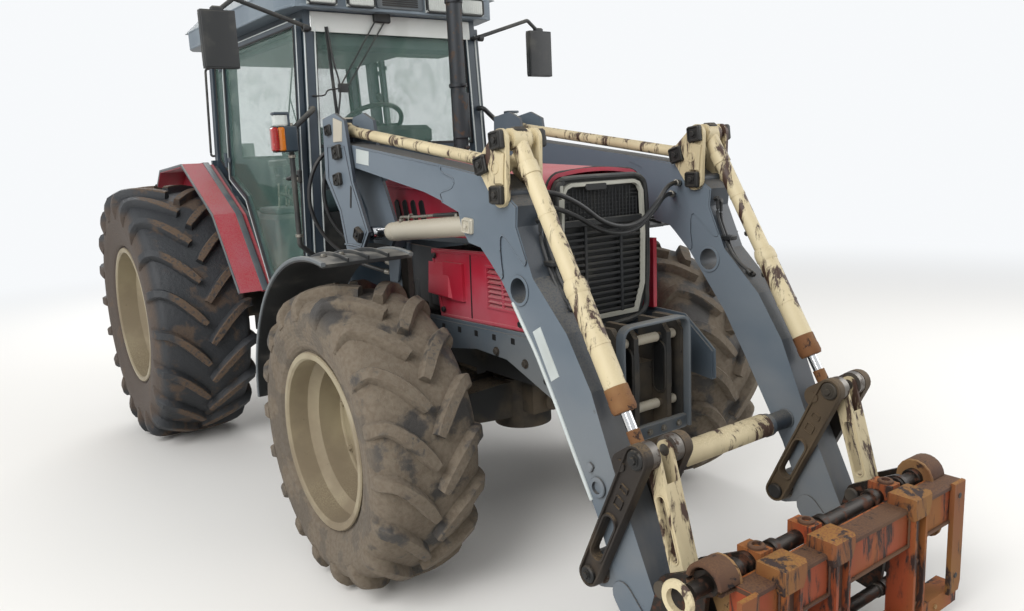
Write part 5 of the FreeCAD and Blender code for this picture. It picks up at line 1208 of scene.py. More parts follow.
@dataclass
class Bonnet:
    """Nose grille, hood trim and side panels, which all ride on the tractor."""

    face_y: float = -3.3663
    half: tuple = ((0.18, 1.7), (0.227, 1.683), (0.257, 1.63), (0.265, 1.45), (0.258, 1.215), (0.205, 1.07))
    divider_z: float = 1.5075
    panel: tuple = ((-2.585, 1.38), (-3.314, 1.4), (-3.312, 1.084), (-2.647, 1.066))
    panel_x: float = 0.372
    slat_pitch: float = 0.016

    def outline(self, shrink: float = 0.0, low: float = 0.0, high: float = 9.0) -> list:
        """Nose outline in the front view, drawn in and kept between two heights."""
        whole = [(x, z) for x, z in self.half] + [(-x, z) for x, z in reversed(self.half)]
        inner = drawn_in(whole, shrink)
        return [(float(x), float(min(max(z, low), high))) for x, z in inner]

    def half_at(self, z: float, shrink: float) -> float:
        """Half width of the nose at a height, less shrink."""
        x, heights = np.array(self.half)[::-1].T
        return float(np.interp(z, heights, x)) - shrink

    def nose(self) -> None:
        """Dark outer bead, pale inner rim with its recess, mesh above and blades below the divider."""
        y = self.face_y
        ring = [(x, y - 0.002, z) for x, z in drawn_in(self.outline(), 0.01)]
        bead = carried(smooth_line(ring + [ring[0]], 5), circle(0.012, 10), up=(0, 1, 0))
        put("nose_bead", Finish.BLACK_PLASTIC, [bead])
        pale = framed(self.outline(), y + 0.003, y - 0.012, 0.02, 0.026)
        put("nose_rim", Finish.NOSE_RIM, [faced(pale)])
        notch = faced(plate(rounded(0.058, 0.013, 0.008) + (-0.045, 1.652), y - 0.016, y - 0.006, 0.003))
        clip = [faced(plate(rounded(0.009, 0.026, 0.005) + (-self.half_at(z, 0.022), z), y - 0.014, y - 0.004, 0.002))
                for z in (1.64, 1.585, 1.47)]
        put("nose_catch", Finish.SEAL, [notch])
        put("nose_clips", Finish.NOSE_RIM, clip)
        mesh = []
        low, high = self.divider_z - 0.0125, self.divider_z + 0.0125
        for z in np.arange(high + 0.012, 1.64, self.slat_pitch):
            reach = self.half_at(z, 0.05)
            mesh.append(tube([(-reach, y + 0.009, z), (reach, y + 0.009, z)], 0.0028, 6))
        for x in np.arange(-0.2, 0.21, self.slat_pitch * 1.25):
            top = 1.648 if abs(x) < 0.17 else 1.6
            mesh.append(tube([(x, y + 0.005, high), (x, y + 0.005, top)], 0.0028, 6))
        put("nose_mesh", Finish.MESH, mesh)
        blades = []
        for z in np.arange(1.12, low - 0.02, 0.026):
            reach = self.half_at(z, 0.048)
            blades.append(block((-reach, y - 0.002, z), (reach, y + 0.012, z + 0.012), 0.003))
        blades += [block((x - 0.007, y - 0.006, 1.112), (x + 0.007, y + 0.01, low), 0.003) for x in (-0.1, 0.1)]
        put("nose_blades", Finish.MESH, blades)
        bar = block((-0.235, y - 0.01, low - 0.002), (0.235, y + 0.006, high + 0.002), 0.006)
        put("nose_divider", Finish.BLACK_PLASTIC, [bar])

    def hood_trim(self) -> None:
        """Pressed creases, the rubber strips at both ends of the hood, its foot moulding and the side vents."""
        def side(y: float, z: float, out: float = 0.0) -> tuple:
            """Place on the hood's side, which widens towards the cab."""
            share = (y + 3.33) / 1.43
            return (0.265 + 0.065 * share + out, y, z)

        crease = [tube(smooth_line([side(-3.28, 1.6), side(-2.8, 1.625), side(-2.3, 1.655), side(-1.98, 1.672)], 8),
                       0.0055, 8)]
        foot = [carried([side(-3.31, 1.418, 0.002), side(-2.6, 1.418, 0.002), side(-2.07, 1.418, 0.002)],
                        rounded(0.005, 0.013, 0.003))]
        put("hood_creases", Finish.BODY_RED, both(crease))
        put("hood_foot_strips", Finish.TRIM_GREY, both(foot))
        y, half, top, bend = -3.322, 0.2665, 1.7165, 0.08
        turn = np.linspace(0, math.pi / 2, 6)
        line = [(half, y, 1.44)]
        line += [(half - bend + bend * math.cos(t), y, top - bend + bend * math.sin(t)) for t in turn]
        line += [(0.0, y, top + 0.012)]
        line += [(-x, y, z) for x, y, z in reversed(line[:-1])]
        arch = [carried(line, circle(0.006, 8), up=(0, 1, 0))]
        put("hood_front_seal", Finish.SEAL, arch)
        tail = [(0.3315 - 0.006 * t, -2.062 + 0.165 * t ** 1.7, 1.412 + 0.29 * t) for t in np.linspace(0, 1, 12)]
        put("hood_tail_seals", Finish.SEAL, both([carried(tail, rounded(0.006, 0.011, 0.004), up=(1, 0, 0))]))
        slots = [plate(tilted((-2.42 + 0.075 * i, 1.545), 0.022, 0.055, -14, 0.018), 0.0, 0.008, 0.003)
                 .moved(0.304 + 0.0034 * i) for i in range(4)]
        put("hood_side_vents", Finish.SEAL, both(slots))

    def panels(self) -> None:
        """Side panel: a raised edge, the wedge-shaped boss, louvre blades, knobs and the seam of its front part."""
        x = self.panel_x
        rim = framed(list(self.panel), x - 0.001, x + 0.005, 0.013, 0.004)
        wedge = sheet_of(np.array([
            [(x, -2.555, 1.32), (x, -2.575, 1.165), (x, -2.78, 1.16), (x, -2.742, 1.325)],
            [(x + 0.006, -2.565, 1.312), (x + 0.03, -2.588, 1.178), (x + 0.03, -2.762, 1.172),
             (x + 0.006, -2.735, 1.318)]]), wrap_v=True, cap=True)
        frame_line = [(-3.262, 1.152), (-3.262, 1.338), (-3.028, 1.338), (-3.028, 1.152)]
        surround = framed(frame_line, x - 0.002, x + 0.006, 0.012)
        put("panel_pressings", Finish.BODY_RED, both([rim, wedge, surround]))
        blades = []
        for z in np.arange(1.166, 1.325, 0.021):
            blades.append(carried([(x - 0.006, -3.252, z), (x - 0.006, -3.038, z)],
                                  np.array(((-0.01, -0.006), (0.01, 0.006), (0.012, 0.003), (-0.008, -0.009)))))
        post = block((x - 0.014, -3.15, 1.16), (x + 0.002, -3.138, 1.332), 0.003)
        put("panel_louvres", Finish.BODY_RED, both(blades + [post]))
        seam = [carried([(x + 0.001, -2.905, 1.085), (x + 0.001, -2.915, 1.382)], rounded(0.0015, 0.004, 0.001))]
        put("panel_seams", Finish.SEAL, both(seam))
        knobs = [stud((x + 0.004, y, z), (1, 0, 0), 0.013, 0.012)
                 for y, z in ((-2.68, 1.105), (-3.27, 1.115), (-3.28, 1.372), (-2.62, 1.352))]
        put("panel_knobs", Finish.BLACK_PLASTIC, both(knobs))
        apron = [plate([(-2.1, 1.395), (-2.585, 1.38), (-2.64, 1.1), (-2.36, 1.12), (-2.36, 1.2), (-2.1, 1.2)],
                       0.332, 0.345, 0.003)]
        put("engine_side_screens", Finish.ENGINE_GREY, both(apron))

    def cowl_trim(self) -> None:
        """Ribs and a filler cap on the cowl."""
        ribs = [tube([(x, -2.06, 1.776), (x, -1.73, 1.776)], 0.005, 8) for x in (-0.12, 0.0)]
        put("cowl_ribs", Finish.CAB_GREY, ribs)
        cap = turned([(0.0, 0.0), (0.036, 0.0), (0.036, 0.018), (0.03, 0.026), (0.0, 0.026)], (0, 0, 1),
                     (-0.2, -1.93, 1.755), 24)
        put("coolant_cap", Finish.BLACK_PLASTIC, [cap])

    def build(self) -> None:
        """Make nose, hood trim, panels and cowl."""
        self.nose()
        self.hood_trim()
        self.panels()
        self.cowl_trim()


# Exhaust


@dataclass
class Exhaust:
    """Clamps, heat shield and the cut top of the upright stack."""

    x: float = 0.205
    y: float = -2.01
    radius: float = 0.042
    top: float = 2.84

    def build(self) -> None:
        """Dress the stack."""
        rings = [collar((self.x, self.y, z), (0, 0, 1), self.radius - 0.002, self.radius + 0.007, 0.022)
                 for z in (1.835, 2.17, 2.61)]
        lugs = [block((self.x - 0.012, self.y - self.radius - 0.024, z + 0.003),
                      (self.x + 0.012, self.y - self.radius + 0.002, z + 0.019)) for z in (1.835, 2.17, 2.61)]
        put("stack_clamps", Finish.EXHAUST, rings + lugs)
        turn = np.linspace(math.radians(200), math.radians(340), 15)
        sheet = []
        for radius in (self.radius + 0.012, self.radius + 0.014):
            sheet.append(np.array([[(self.x + radius * math.cos(t), self.y + radius * math.sin(t), z) for t in turn]
                                   for z in (1.9, 2.14)]))
        outer, inner = sheet[1], sheet[0][:, ::-1]
        shield = sheet_of(np.concatenate([outer, inner], axis=1), wrap_v=True, cap=True)
        put("stack_heat_shield", Finish.EXHAUST, [shield])
        mouth = collar((self.x, self.y, self.top - 0.028), (0, 0, 1), self.radius - 0.008, self.radius + 0.004, 0.03)
        put("stack_mouth", Finish.RUST, [mouth], slot="exhaust_steel")


# Cab


@dataclass
class Cab:
    """Cab shell: pillars, seals, roof, lamps, wiper, mirrors, doors and rear wall."""

    foot_half: float = 0.625
    floor_z: float = 1.13
    lean: float = 2.4
    front_y: float = -1.715
    rear_y: float = -0.09
    door: tuple = ((-1.695, 1.1), (-1.695, 2.54), (-0.47, 2.54), (-0.47, 1.72), (-0.76, 1.59),
                   (-1.1, 1.1))
    quarter: tuple = ((-0.404, 1.72), (-0.152, 1.85), (-0.152, 2.505), (-0.404, 2.505))
    lamp_x: tuple = (-0.46, -0.24, 0.24, 0.46)

    def leaned(self, shape: Shape) -> Shape:
        """A piece drawn at x = 0, placed in the leaning side plane of the left side."""
        turn = Matrix.Rotation(math.radians(-self.lean), 4, "Y")
        foot = Vector((0.0, 0.0, self.floor_z))
        return shape.mapped(Matrix.Translation(foot + Vector((self.foot_half, 0, 0))) @ turn
                            @ Matrix.Translation(-foot))

    def post_x(self, z: float) -> float:
        """Middle of a post across the cab at a height."""
        return self.foot_half - 0.028 - 0.005 - 0.031 - (z - self.floor_z) * math.tan(math.radians(self.lean))

    def doors(self) -> None:
        """Seals, pale edge strips, handles and grab handles, riding on each door."""
        seals = [framed(self.door, 0.0, 0.005, 0.011, 0.03), framed(self.door, -0.028, -0.034, 0.014, 0.028)]
        strip = [framed(self.door, 0.0, 0.003, 0.006, 0.001)]
        grip = [tube(bent_line([(0.002, -1.672, 1.735), (0.04, -1.672, 1.735), (0.04, -1.56, 1.72),
                                (0.002, -1.56, 1.72)], 0.016), 0.008, 10),
                block((-0.002, -1.686, 1.7), (0.022, -1.655, 1.768), 0.006)]
        lock = [stud((0.022, -1.67, 1.722), (1, 0, 0), 0.01, 0.006)]
        inner = [tube(bent_line([(-0.03, -1.63, 1.42), (-0.075, -1.61, 1.45), (-0.075, -1.3, 1.62),
                                 (-0.03, -1.27, 1.64)], 0.03), 0.011, 10)]
        for side, tag in SIDES:
            body = "door_" + tag
            for part, finish, shapes in (
                    ("seals", Finish.SEAL, seals), ("edge_strips", Finish.PALE_PLATE, strip),
                    ("handle", Finish.BLACK_PLASTIC, grip), ("lock", Finish.BOLT_STEEL, lock),
                    ("inner_rail", Finish.BLACK_PLASTIC, inner)):
                put(f"{body}_{part}", finish, on_side([self.leaned(shape) for shape in shapes], side), body)

    def pillars(self) -> None:
        """Edge beads on the front posts, hinge bolts, quarter window seals and the front window's seal."""
        beads = [tube([(self.post_x(z) + offset, self.front_y - 0.002, z) for z in (1.1, 2.5)], 0.0045, 8)
                 for offset in (-0.029, 0.029)]
        put("pillar_edge_beads", Finish.PALE_PLATE, both(beads))
        seals = [self.leaned(framed(self.quarter, -0.052, -0.046, 0.016, -0.003))]
        put("quarter_seals", Finish.SEAL, both(seals))
        glass = []
        for y, out in ((self.front_y + 0.02, -1), (self.rear_y - 0.02, 1)):
            low, high = (1.88, 2.508) if out < 0 else (1.85, 2.508)
            foot, top = self.post_x(low) - 0.031, self.post_x(high) - 0.031
            line = [(-foot, low), (foot, low), (top, high), (-top, high)]
            glass.append(faced(framed(line, y, y + out * 0.006, 0.018, -0.002)))
        put("window_seals", Finish.SEAL, glass)
        plates = []
        for z in (1.8, 2.4):
            for level in (z + 0.015, z + 0.075):
                plates += [self.leaned(shape) for shape in hex_bolt((-0.004, -0.436, level), (1, 0, 0), 0.007, 0.005)]
        put("hinge_bolts", Finish.BOLT_STEEL, both(plates))
        z0, z1 = 1.88, 2.46
        x0, x1 = self.post_x(z0) + 0.045, self.post_x(z1) + 0.045
        rods = [tube(bent_line([(x0 - 0.02, -0.098, z0), (x0, -0.052, z0), (x1, -0.052, z1), (x1 - 0.02, -0.098, z1)],
                               0.03), 0.008, 10)]
        put("rear_grab_rods", Finish.BLACK_PLASTIC, both(rods))

    def strip(self) -> None:
        """White sun strip with no lettering over the windscreen, and the headlining band behind the glass."""
        board = faced(plate([(-0.5, 2.474), (0.5, 2.474), (0.494, 2.574), (-0.494, 2.574)], self.front_y - 0.005,
                            self.front_y + 0.012, 0.003))
        put("sun_strip", Finish.SUN_STRIP, [board])
        lining = block((-0.462, -1.635, 2.395), (0.462, -1.43, 2.505), 0.03)
        pad = block((-0.455, -1.425, 2.47), (0.455, -0.17, 2.508), 0.012)
        put("headlining", Finish.TRIM_GREY, [lining, pad], slot="cab_grey")
        vents = [faced(plate(rounded(0.035, 0.018, 0.008) + (x, 2.44), -1.428, -1.422, 0.002))
                 for x in (-0.33, -0.2, 0.2, 0.33)]
        put("air_vents", Finish.SEAL, vents)

    def roof(self) -> None:
        """Drip rail, pressed ribs, side grooves, lamp housings with lenses, and the panel between them."""
        line = [(0.636, -1.6), (0.598, -1.788), (-0.598, -1.788), (-0.636, -1.6), (-0.636, -0.06),
                (-0.598, 0.018), (0.598, 0.018), (0.636, -0.06)]
        rail = carried(bent_line([(x, y, 2.689) for x, y in line + [line[0]]], 0.04, 5), rounded(0.007, 0.006, 0.004))
        foot = carried(bent_line([(x, y, 2.588) for x, y in line + [line[0]]], 0.04, 5), rounded(0.006, 0.007, 0.004))
        ribs = [block((x - 0.05, -1.46, 2.796), (x + 0.05, -0.24, 2.806), 0.004) for x in (-0.33, 0.0, 0.33)]
        put("roof_rails", Finish.ROOF_GREY, [rail, foot] + ribs)
        bezels, lenses, inner = [], [], []
        for x in self.lamp_x:
            oval = rounded(0.082, 0.047, 0.018) + (x, 2.64)
            bezels.append(faced(lip(oval, -1.8, -1.818, 0.01)))
            lenses.append(faced(plate(rounded(0.07, 0.036, 0.012) + (x, 2.64), -1.817, -1.812, 0.003)))
            inner += [faced(plate(rounded(0.0016, 0.034, 0.001) + (x + step, 2.64), -1.8185, -1.816, 0.0005))
                      for step in np.arange(-0.056, 0.057, 0.014)]
        put("lamp_bezels", Finish.BLACK_PLASTIC, bezels)
        put("lamp_lenses", Finish.LAMP_GLASS, lenses + inner)
        panel = faced(plate(rounded(0.145, 0.04, 0.012) + (0.0, 2.64), -1.797, -1.788, 0.003))
        put("roof_front_panel", Finish.TRIM_GREY, [panel], slot="roof_grey")
        slots = [faced(plate(rounded(0.11, 0.004, 0.003) + (0.0, z), -1.799, -1.795, 0.001))
                 for z in np.arange(2.618, 2.665, 0.011)]
        put("roof_intake_slots", Finish.SEAL, slots)

    def wiper(self) -> None:
        """Wiper over the windscreen: motor cover, two parallel rods, blade and the feed pipe."""
        y = self.front_y - 0.012
        rods = [tube([(-0.115, y - 0.006, 2.56), (-0.355, y - 0.004, 2.205)], 0.0045, 8),
                tube([(-0.062, y - 0.006, 2.552), (-0.33, y - 0.004, 2.178)], 0.0045, 8)]
        holder = block((-0.375, y - 0.01, 2.165), (-0.318, y + 0.002, 2.212), 0.004)
        cover = block((-0.135, y - 0.016, 2.535), (-0.035, y + 0.01, 2.59), 0.01)
        spine = tube(smooth_line([(-0.408, y + 0.001, 2.5), (-0.392, y - 0.007, 2.33), (-0.366, y - 0.009, 2.192),
                                  (-0.384, y + 0.001, 2.045)], 6), 0.005, 8)
        blade = carried([(-0.412, y + 0.007, 2.5), (-0.388, y + 0.007, 2.04)], rounded(0.003, 0.009, 0.002),
                        up=(1, 0, 0))
        put("wiper", Finish.BLACK_PLASTIC, rods + [holder, cover, spine, blade])
        pipe = tube(smooth_line([(-0.366, y, 2.185), (-0.43, y, 2.176), (-0.455, y + 0.004, 2.15),
                                 (-0.52, y + 0.006, 2.146)], 8), 0.004, 8)
        put("washer_pipe", Finish.HOSE, [pipe])
        rear = self.rear_y + 0.012
        back = [tube([(0.1, rear + 0.006, 1.868), (0.02, rear + 0.004, 2.28)], 0.0045, 8),
                tube([(-0.02, rear, 2.05), (0.06, rear, 2.5)], 0.006, 8),
                block((0.06, rear - 0.01, 1.838), (0.15, rear + 0.018, 1.895), 0.01)]
        put("rear_wiper", Finish.BLACK_PLASTIC, back)

    def mirrors(self) -> None:
        """Mirror shells with a rim and glass on the side that faces back, and the clamps on their arms."""
        shell = [block((0.9035, -1.777, 2.2685), (1.0725, -1.74, 2.5415), 0.016),
                 faced(lip(rounded(0.084, 0.136, 0.016) + (0.988, 2.405), -1.741, -1.731, 0.007)),
                 block((0.955, -1.772, 2.52), (1.015, -1.738, 2.56), 0.008)]
        clamps = [collar((0.53, -1.76, 2.48), (1, 0, 0), 0.01, 0.019, 0.03)]
        put("mirror_shells", Finish.BLACK_PLASTIC, both(shell + clamps))
        glass = [faced(plate(rounded(0.075, 0.127, 0.012) + (0.988, 2.405), -1.7395, -1.7345, 0.001))]
        put("mirror_glass", Finish.MIRROR, both(glass))

    def rail_lamps(self) -> None:
        """Red and amber lens beside the dark lamp box, the small clear lamp over it and the rail's clamps."""
        red = [block((0.757, -1.813, 1.866), (0.787, -1.764, 1.984), 0.007)]
        amber = [block((0.722, -1.811, 1.866), (0.757, -1.764, 1.984), 0.006)]
        case = [block((0.655, -1.806, 1.862), (0.723, -1.764, 1.99), 0.006),
                block((0.69, -1.806, 2.046), (0.772, -1.758, 2.06), 0.005),
                block((0.69, -1.806, 1.99), (0.7, -1.758, 2.05), 0.003)]
        clear = [block((0.699, -1.803, 1.992), (0.768, -1.761, 2.047), 0.005)]
        ribs = [block((0.7565, -1.8145, z), (0.7862, -1.812, z + 0.004), 0.001) for z in np.arange(1.88, 1.975, 0.012)]
        put("turn_lamp_red", Finish.RED_LENS, both(red + ribs))
        put("turn_lamp_amber", Finish.AMBER_LENS, both(amber))
        put("turn_lamp_case", Finish.CAB_GREY, both(case), slot="plastic_black")
        put("width_lamp", Finish.LAMP_GLASS, both(clear))
        bands = [collar((0.68, -1.765, z), (0, 0, 1), 0.013, 0.019, 0.016) for z in (1.42, 1.83, 1.99)]
        put("rail_bands", Finish.BOLT_STEEL, both(bands))

    def rear_wall(self) -> None:
        """Sheet ribs under the rear window and a blank plate on its bracket."""
        y = self.rear_y
        ribs = [block((x - 0.02, y - 0.002, 1.2), (x + 0.02, y + 0.01, 1.8), 0.006) for x in (-0.42, -0.14, 0.14, 0.42)]
        put("rear_wall_ribs", Finish.CAB_GREY, ribs)
        plate_shape = faced(plate(rounded(0.13, 0.055, 0.01) + (-0.4, 1.905), y + 0.028, y + 0.034, 0.002))
        bracket = block((-0.44, y - 0.002, 1.87), (-0.36, y + 0.03, 1.94), 0.004)
        put("rear_blank_plate", Finish.PALE_PLATE, [plate_shape])
        put("rear_plate_bracket", Finish.BLACK_PLASTIC, [bracket])

    def build(self) -> None:
        """Make every piece of the cab's outside."""
        self.doors()
        self.pillars()
        self.strip()
        self.roof()
        self.wiper()
        self.mirrors()
        self.rail_lamps()
        self.rear_wall()


# Inside the cab


@dataclass
class Inside:
    """Floor mat, dash, steering wheel, levers and consoles."""

    wheel: tuple = (0.0, -1.35, 2.01)
    tilt: float = 35.0

    def dash(self) -> None:
        """Rounded dash hood with dials, and the shroud round the column."""
        hood = block((-0.15, -1.672, 1.88), (0.235, -1.5, 1.992), 0.045)
        face = block((-0.12, -1.512, 1.9), (0.205, -1.482, 1.975), 0.012)
        put("dash_hood", Finish.BLACK_PLASTIC, [hood, face])
        dials = [turned([(0.0, 0.0), (0.03, 0.0), (0.03, 0.004), (0.026, 0.006), (0.0, 0.005)], (0, 1, 0),
                        (x, -1.484, 1.938), 20) for x in (-0.065, 0.045, 0.15)]
        put("dash_dials", Finish.PALE_PLATE, dials, slot="plastic_black")
        axis = np.array((0.0, math.sin(math.radians(self.tilt)), math.cos(math.radians(self.tilt))))
        hub = np.array(self.wheel)
        shroud = turned([(0.0, -0.36), (0.085, -0.36), (0.055, -0.2), (0.05, -0.155), (0.0, -0.155)], tuple(axis),
                        tuple(hub), 20)
        put("column_shroud", Finish.BLACK_PLASTIC, [shroud])

    def steering(self) -> None:
        """Padded hub, three spokes and the knob of the steering wheel."""
        axis = np.array((0.0, math.sin(math.radians(self.tilt)), math.cos(math.radians(self.tilt))))
        hub = np.array(self.wheel)
        across = np.array((1.0, 0.0, 0.0))
        down = np.cross(across, axis)
        pad = turned([(0.0, -0.012), (0.052, -0.012), (0.055, 0.004), (0.04, 0.018), (0.0, 0.022)], tuple(axis),
                     tuple(hub), 24)
        spokes = []
        for angle in (0.0, 180.0, 270.0):
            way = across * math.cos(math.radians(angle)) + down * math.sin(math.radians(angle))
            line = [hub + way * 0.04, hub + way * 0.11 - axis * 0.004, hub + way * 0.182]
            spokes.append(carried(line, rounded(0.013, 0.006, 0.005), up=tuple(axis)))
        knob = turned([(0.0, 0.0), (0.012, 0.0), (0.014, 0.03), (0.022, 0.045), (0.018, 0.062), (0.0, 0.068)],
                      tuple(axis), tuple(hub + down * 0.19 + axis * 0.01), 16)
        put("wheel_hub", Finish.BLACK_PLASTIC, [pad] + spokes + [knob], "steering_wheel")

    def floor(self) -> None:
        """Ribbed floor mat, pedals and the two side consoles with their levers."""
        mat = [block((-0.5, -1.62, 1.1305), (0.5, -0.92, 1.142), 0.004)]
        mat += [block((x - 0.006, -1.6, 1.141), (x + 0.006, -0.94, 1.147), 0.002) for x in np.arange(-0.44, 0.45, 0.08)]
        put("floor_mat", Finish.SEAL, mat)
        pedals = []
        for x in (-0.26, 0.24, 0.36):
            pedals.append(block((x - 0.04, -1.56, 1.235), (x + 0.04, -1.5, 1.262), 0.008))
            pedals.append(tube([(x, -1.53, 1.24), (x, -1.62, 1.33), (x, -1.69, 1.36)], 0.01, 8))
        put("pedals", Finish.CAST_IRON, pedals)
        consoles = [block((-0.535, -1.05, 1.1305), (-0.3, -0.26, 1.5), 0.03),
                    block((0.3, -0.95, 1.1305), (0.535, -0.26, 1.44), 0.03),
                    block((-0.505, -1.02, 1.5), (-0.33, -0.7, 1.54), 0.02)]
        put("consoles", Finish.TRIM_GREY, consoles)
        levers, knobs = [], []
        for x, y, z in ((-0.46, -0.96, 1.7), (-0.4, -0.92, 1.68), (-0.36, -0.86, 1.66), (0.42, -0.86, 1.62)):
            levers.append(tube([(x, y + 0.03, z - 0.22), (x, y, z)], 0.006, 8))
            knobs.append(turned([(0.0, 0.0), (0.014, 0.0), (0.02, 0.02), (0.017, 0.045), (0.0, 0.052)], (0, -0.1, 1),
                                (x, y, z - 0.01), 14))
        put("lever_rods", Finish.BOLT_STEEL, levers)
        put("lever_knobs", Finish.BLACK_PLASTIC, knobs)
        base = [block((-0.215, -0.865, 1.465), (0.215, -0.4, 1.481), 0.006)]
        folds = [block((-0.205 - 0.012 * (i % 2), -0.87, 1.18 + 0.034 * i),
                       (0.205 + 0.012 * (i % 2), -0.39, 1.21 + 0.034 * i), 0.012) for i in range(8)]
        put("seat_bellows", Finish.SEAL, base + folds)
        rests = [block((side * 0.29 - 0.03, -0.76, 1.79), (side * 0.29 + 0.03, -0.43, 1.835), 0.018) for side in HANDS]
        rests += [tube([(side * 0.262, -0.44, 1.7), (side * 0.285, -0.45, 1.8)], 0.012, 8) for side in HANDS]
        put("arm_rests", Finish.BLACK_PLASTIC, rests)

    def build(self) -> None:
        """Make the pieces inside the cab."""
        self.dash()
        self.steering()
        self.floor()


@dataclass
class Cushion:
    """Foam pad in sewn cloth, which a cloth simulation puffs up and which rests on its seat pan."""

    name: str
    low: tuple
    high: tuple
    voxel: float = 0.006
    cap: float = 0.022
    seams: int = 2

    def blank(self) -> bpy.types.Object:
        """Closed box a little smaller than the pad; build cuts it into even cells."""
        shrink = 0.012
        shape = block(np.array(self.low) + shrink, np.array(self.high) - shrink, 0.03).moved(0.0, AXLE_Y, 0.0)
        mesh = bpy.data.meshes.new(self.name)
        mesh.from_pydata(shape.points.tolist(), [], [list(face) for face in shape.faces])
        return new_object(self.name, mesh)

    def build(self) -> bpy.types.Object:
        """Remesh the blank, let its pressure swell it, cap the travel and keep the result."""
        made = self.blank()
        grid = made.modifiers.new("cells", "REMESH")
        grid.mode, grid.voxel_size = "VOXEL", self.voxel
        self.keep(made)
        count = len(made.data.vertices)
        start = np.empty(count * 3)
        made.data.vertices.foreach_get("co", start)
        start = start.reshape(-1, 3)
        cloth = made.modifiers.new("foam", "CLOTH")
        cloth.settings.use_pressure = True
        cloth.settings.uniform_pressure_force = 4.0
        cloth.settings.effector_weights.gravity = 0.0
        cloth.point_cache.frame_start, cloth.point_cache.frame_end = 1, 20
        for step in range(1, 21):
            bpy.context.scene.frame_set(step)
        self.keep(made)
        bpy.context.scene.frame_set(1)
        swollen = np.empty(count * 3)
        made.data.vertices.foreach_get("co", swollen)
        move = swollen.reshape(-1, 3) - start
        far = np.maximum(np.linalg.norm(move, axis=1), 1e-9)[:, None]
        made.data.vertices.foreach_set("co", (start + move * np.minimum(1.0, self.cap / far)).ravel())
        self.sew(made)
        made.data.shade_smooth()
        made.data.materials.append(Finish.SEAT_CLOTH.material())
        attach(made, "tractor")
        LOG.info("%s: %d points on tractor", self.name, count)
        return made

    def keep(self, made: bpy.types.Object) -> None:
        """Turn the piece's modifiers into its mesh."""
        view = bpy.context.evaluated_depsgraph_get()
        mesh = bpy.data.meshes.new_from_object(made.evaluated_get(view))
        old = made.data
        made.modifiers.clear()
        made.data = mesh
        bpy.data.meshes.remove(old)

    def sew(self, made: bpy.types.Object) -> None:
        """Press sewn channels into the pad: each draws points in by 6 mm within 9 mm of its line."""
        count = len(made.data.vertices)
        spots = np.empty(count * 3)
        made.data.vertices.foreach_get("co", spots)
        spots = spots.reshape(-1, 3)
        middle, reach = (spots.max(0) + spots.min(0)) / 2, (spots.max(0) - spots.min(0)) / 2
        pull = np.zeros(count)
        for x in np.linspace(-0.5, 0.5, self.seams):
            pull = np.maximum(pull, np.exp(-((spots[:, 0] - middle[0] - x * reach[0]) / 0.009) ** 2))
        way = spots - middle
        way /= np.maximum(np.linalg.norm(way, axis=1), 1e-9)[:, None]
        made.data.vertices.foreach_set("co", (spots - way * pull[:, None] * 0.006).ravel())


def build_seat() -> None:
    """Make the seat's two cushions in place of the plain pads."""
    base = Cushion("seat_cushion", (-0.25, -0.9, 1.481), (0.25, -0.41, 1.61)).build()
    Cushion("seat_back", (-0.24, -0.48, 1.62), (0.24, -0.375, 2.075)).build()
    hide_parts("seat_pads")


# Tool frame


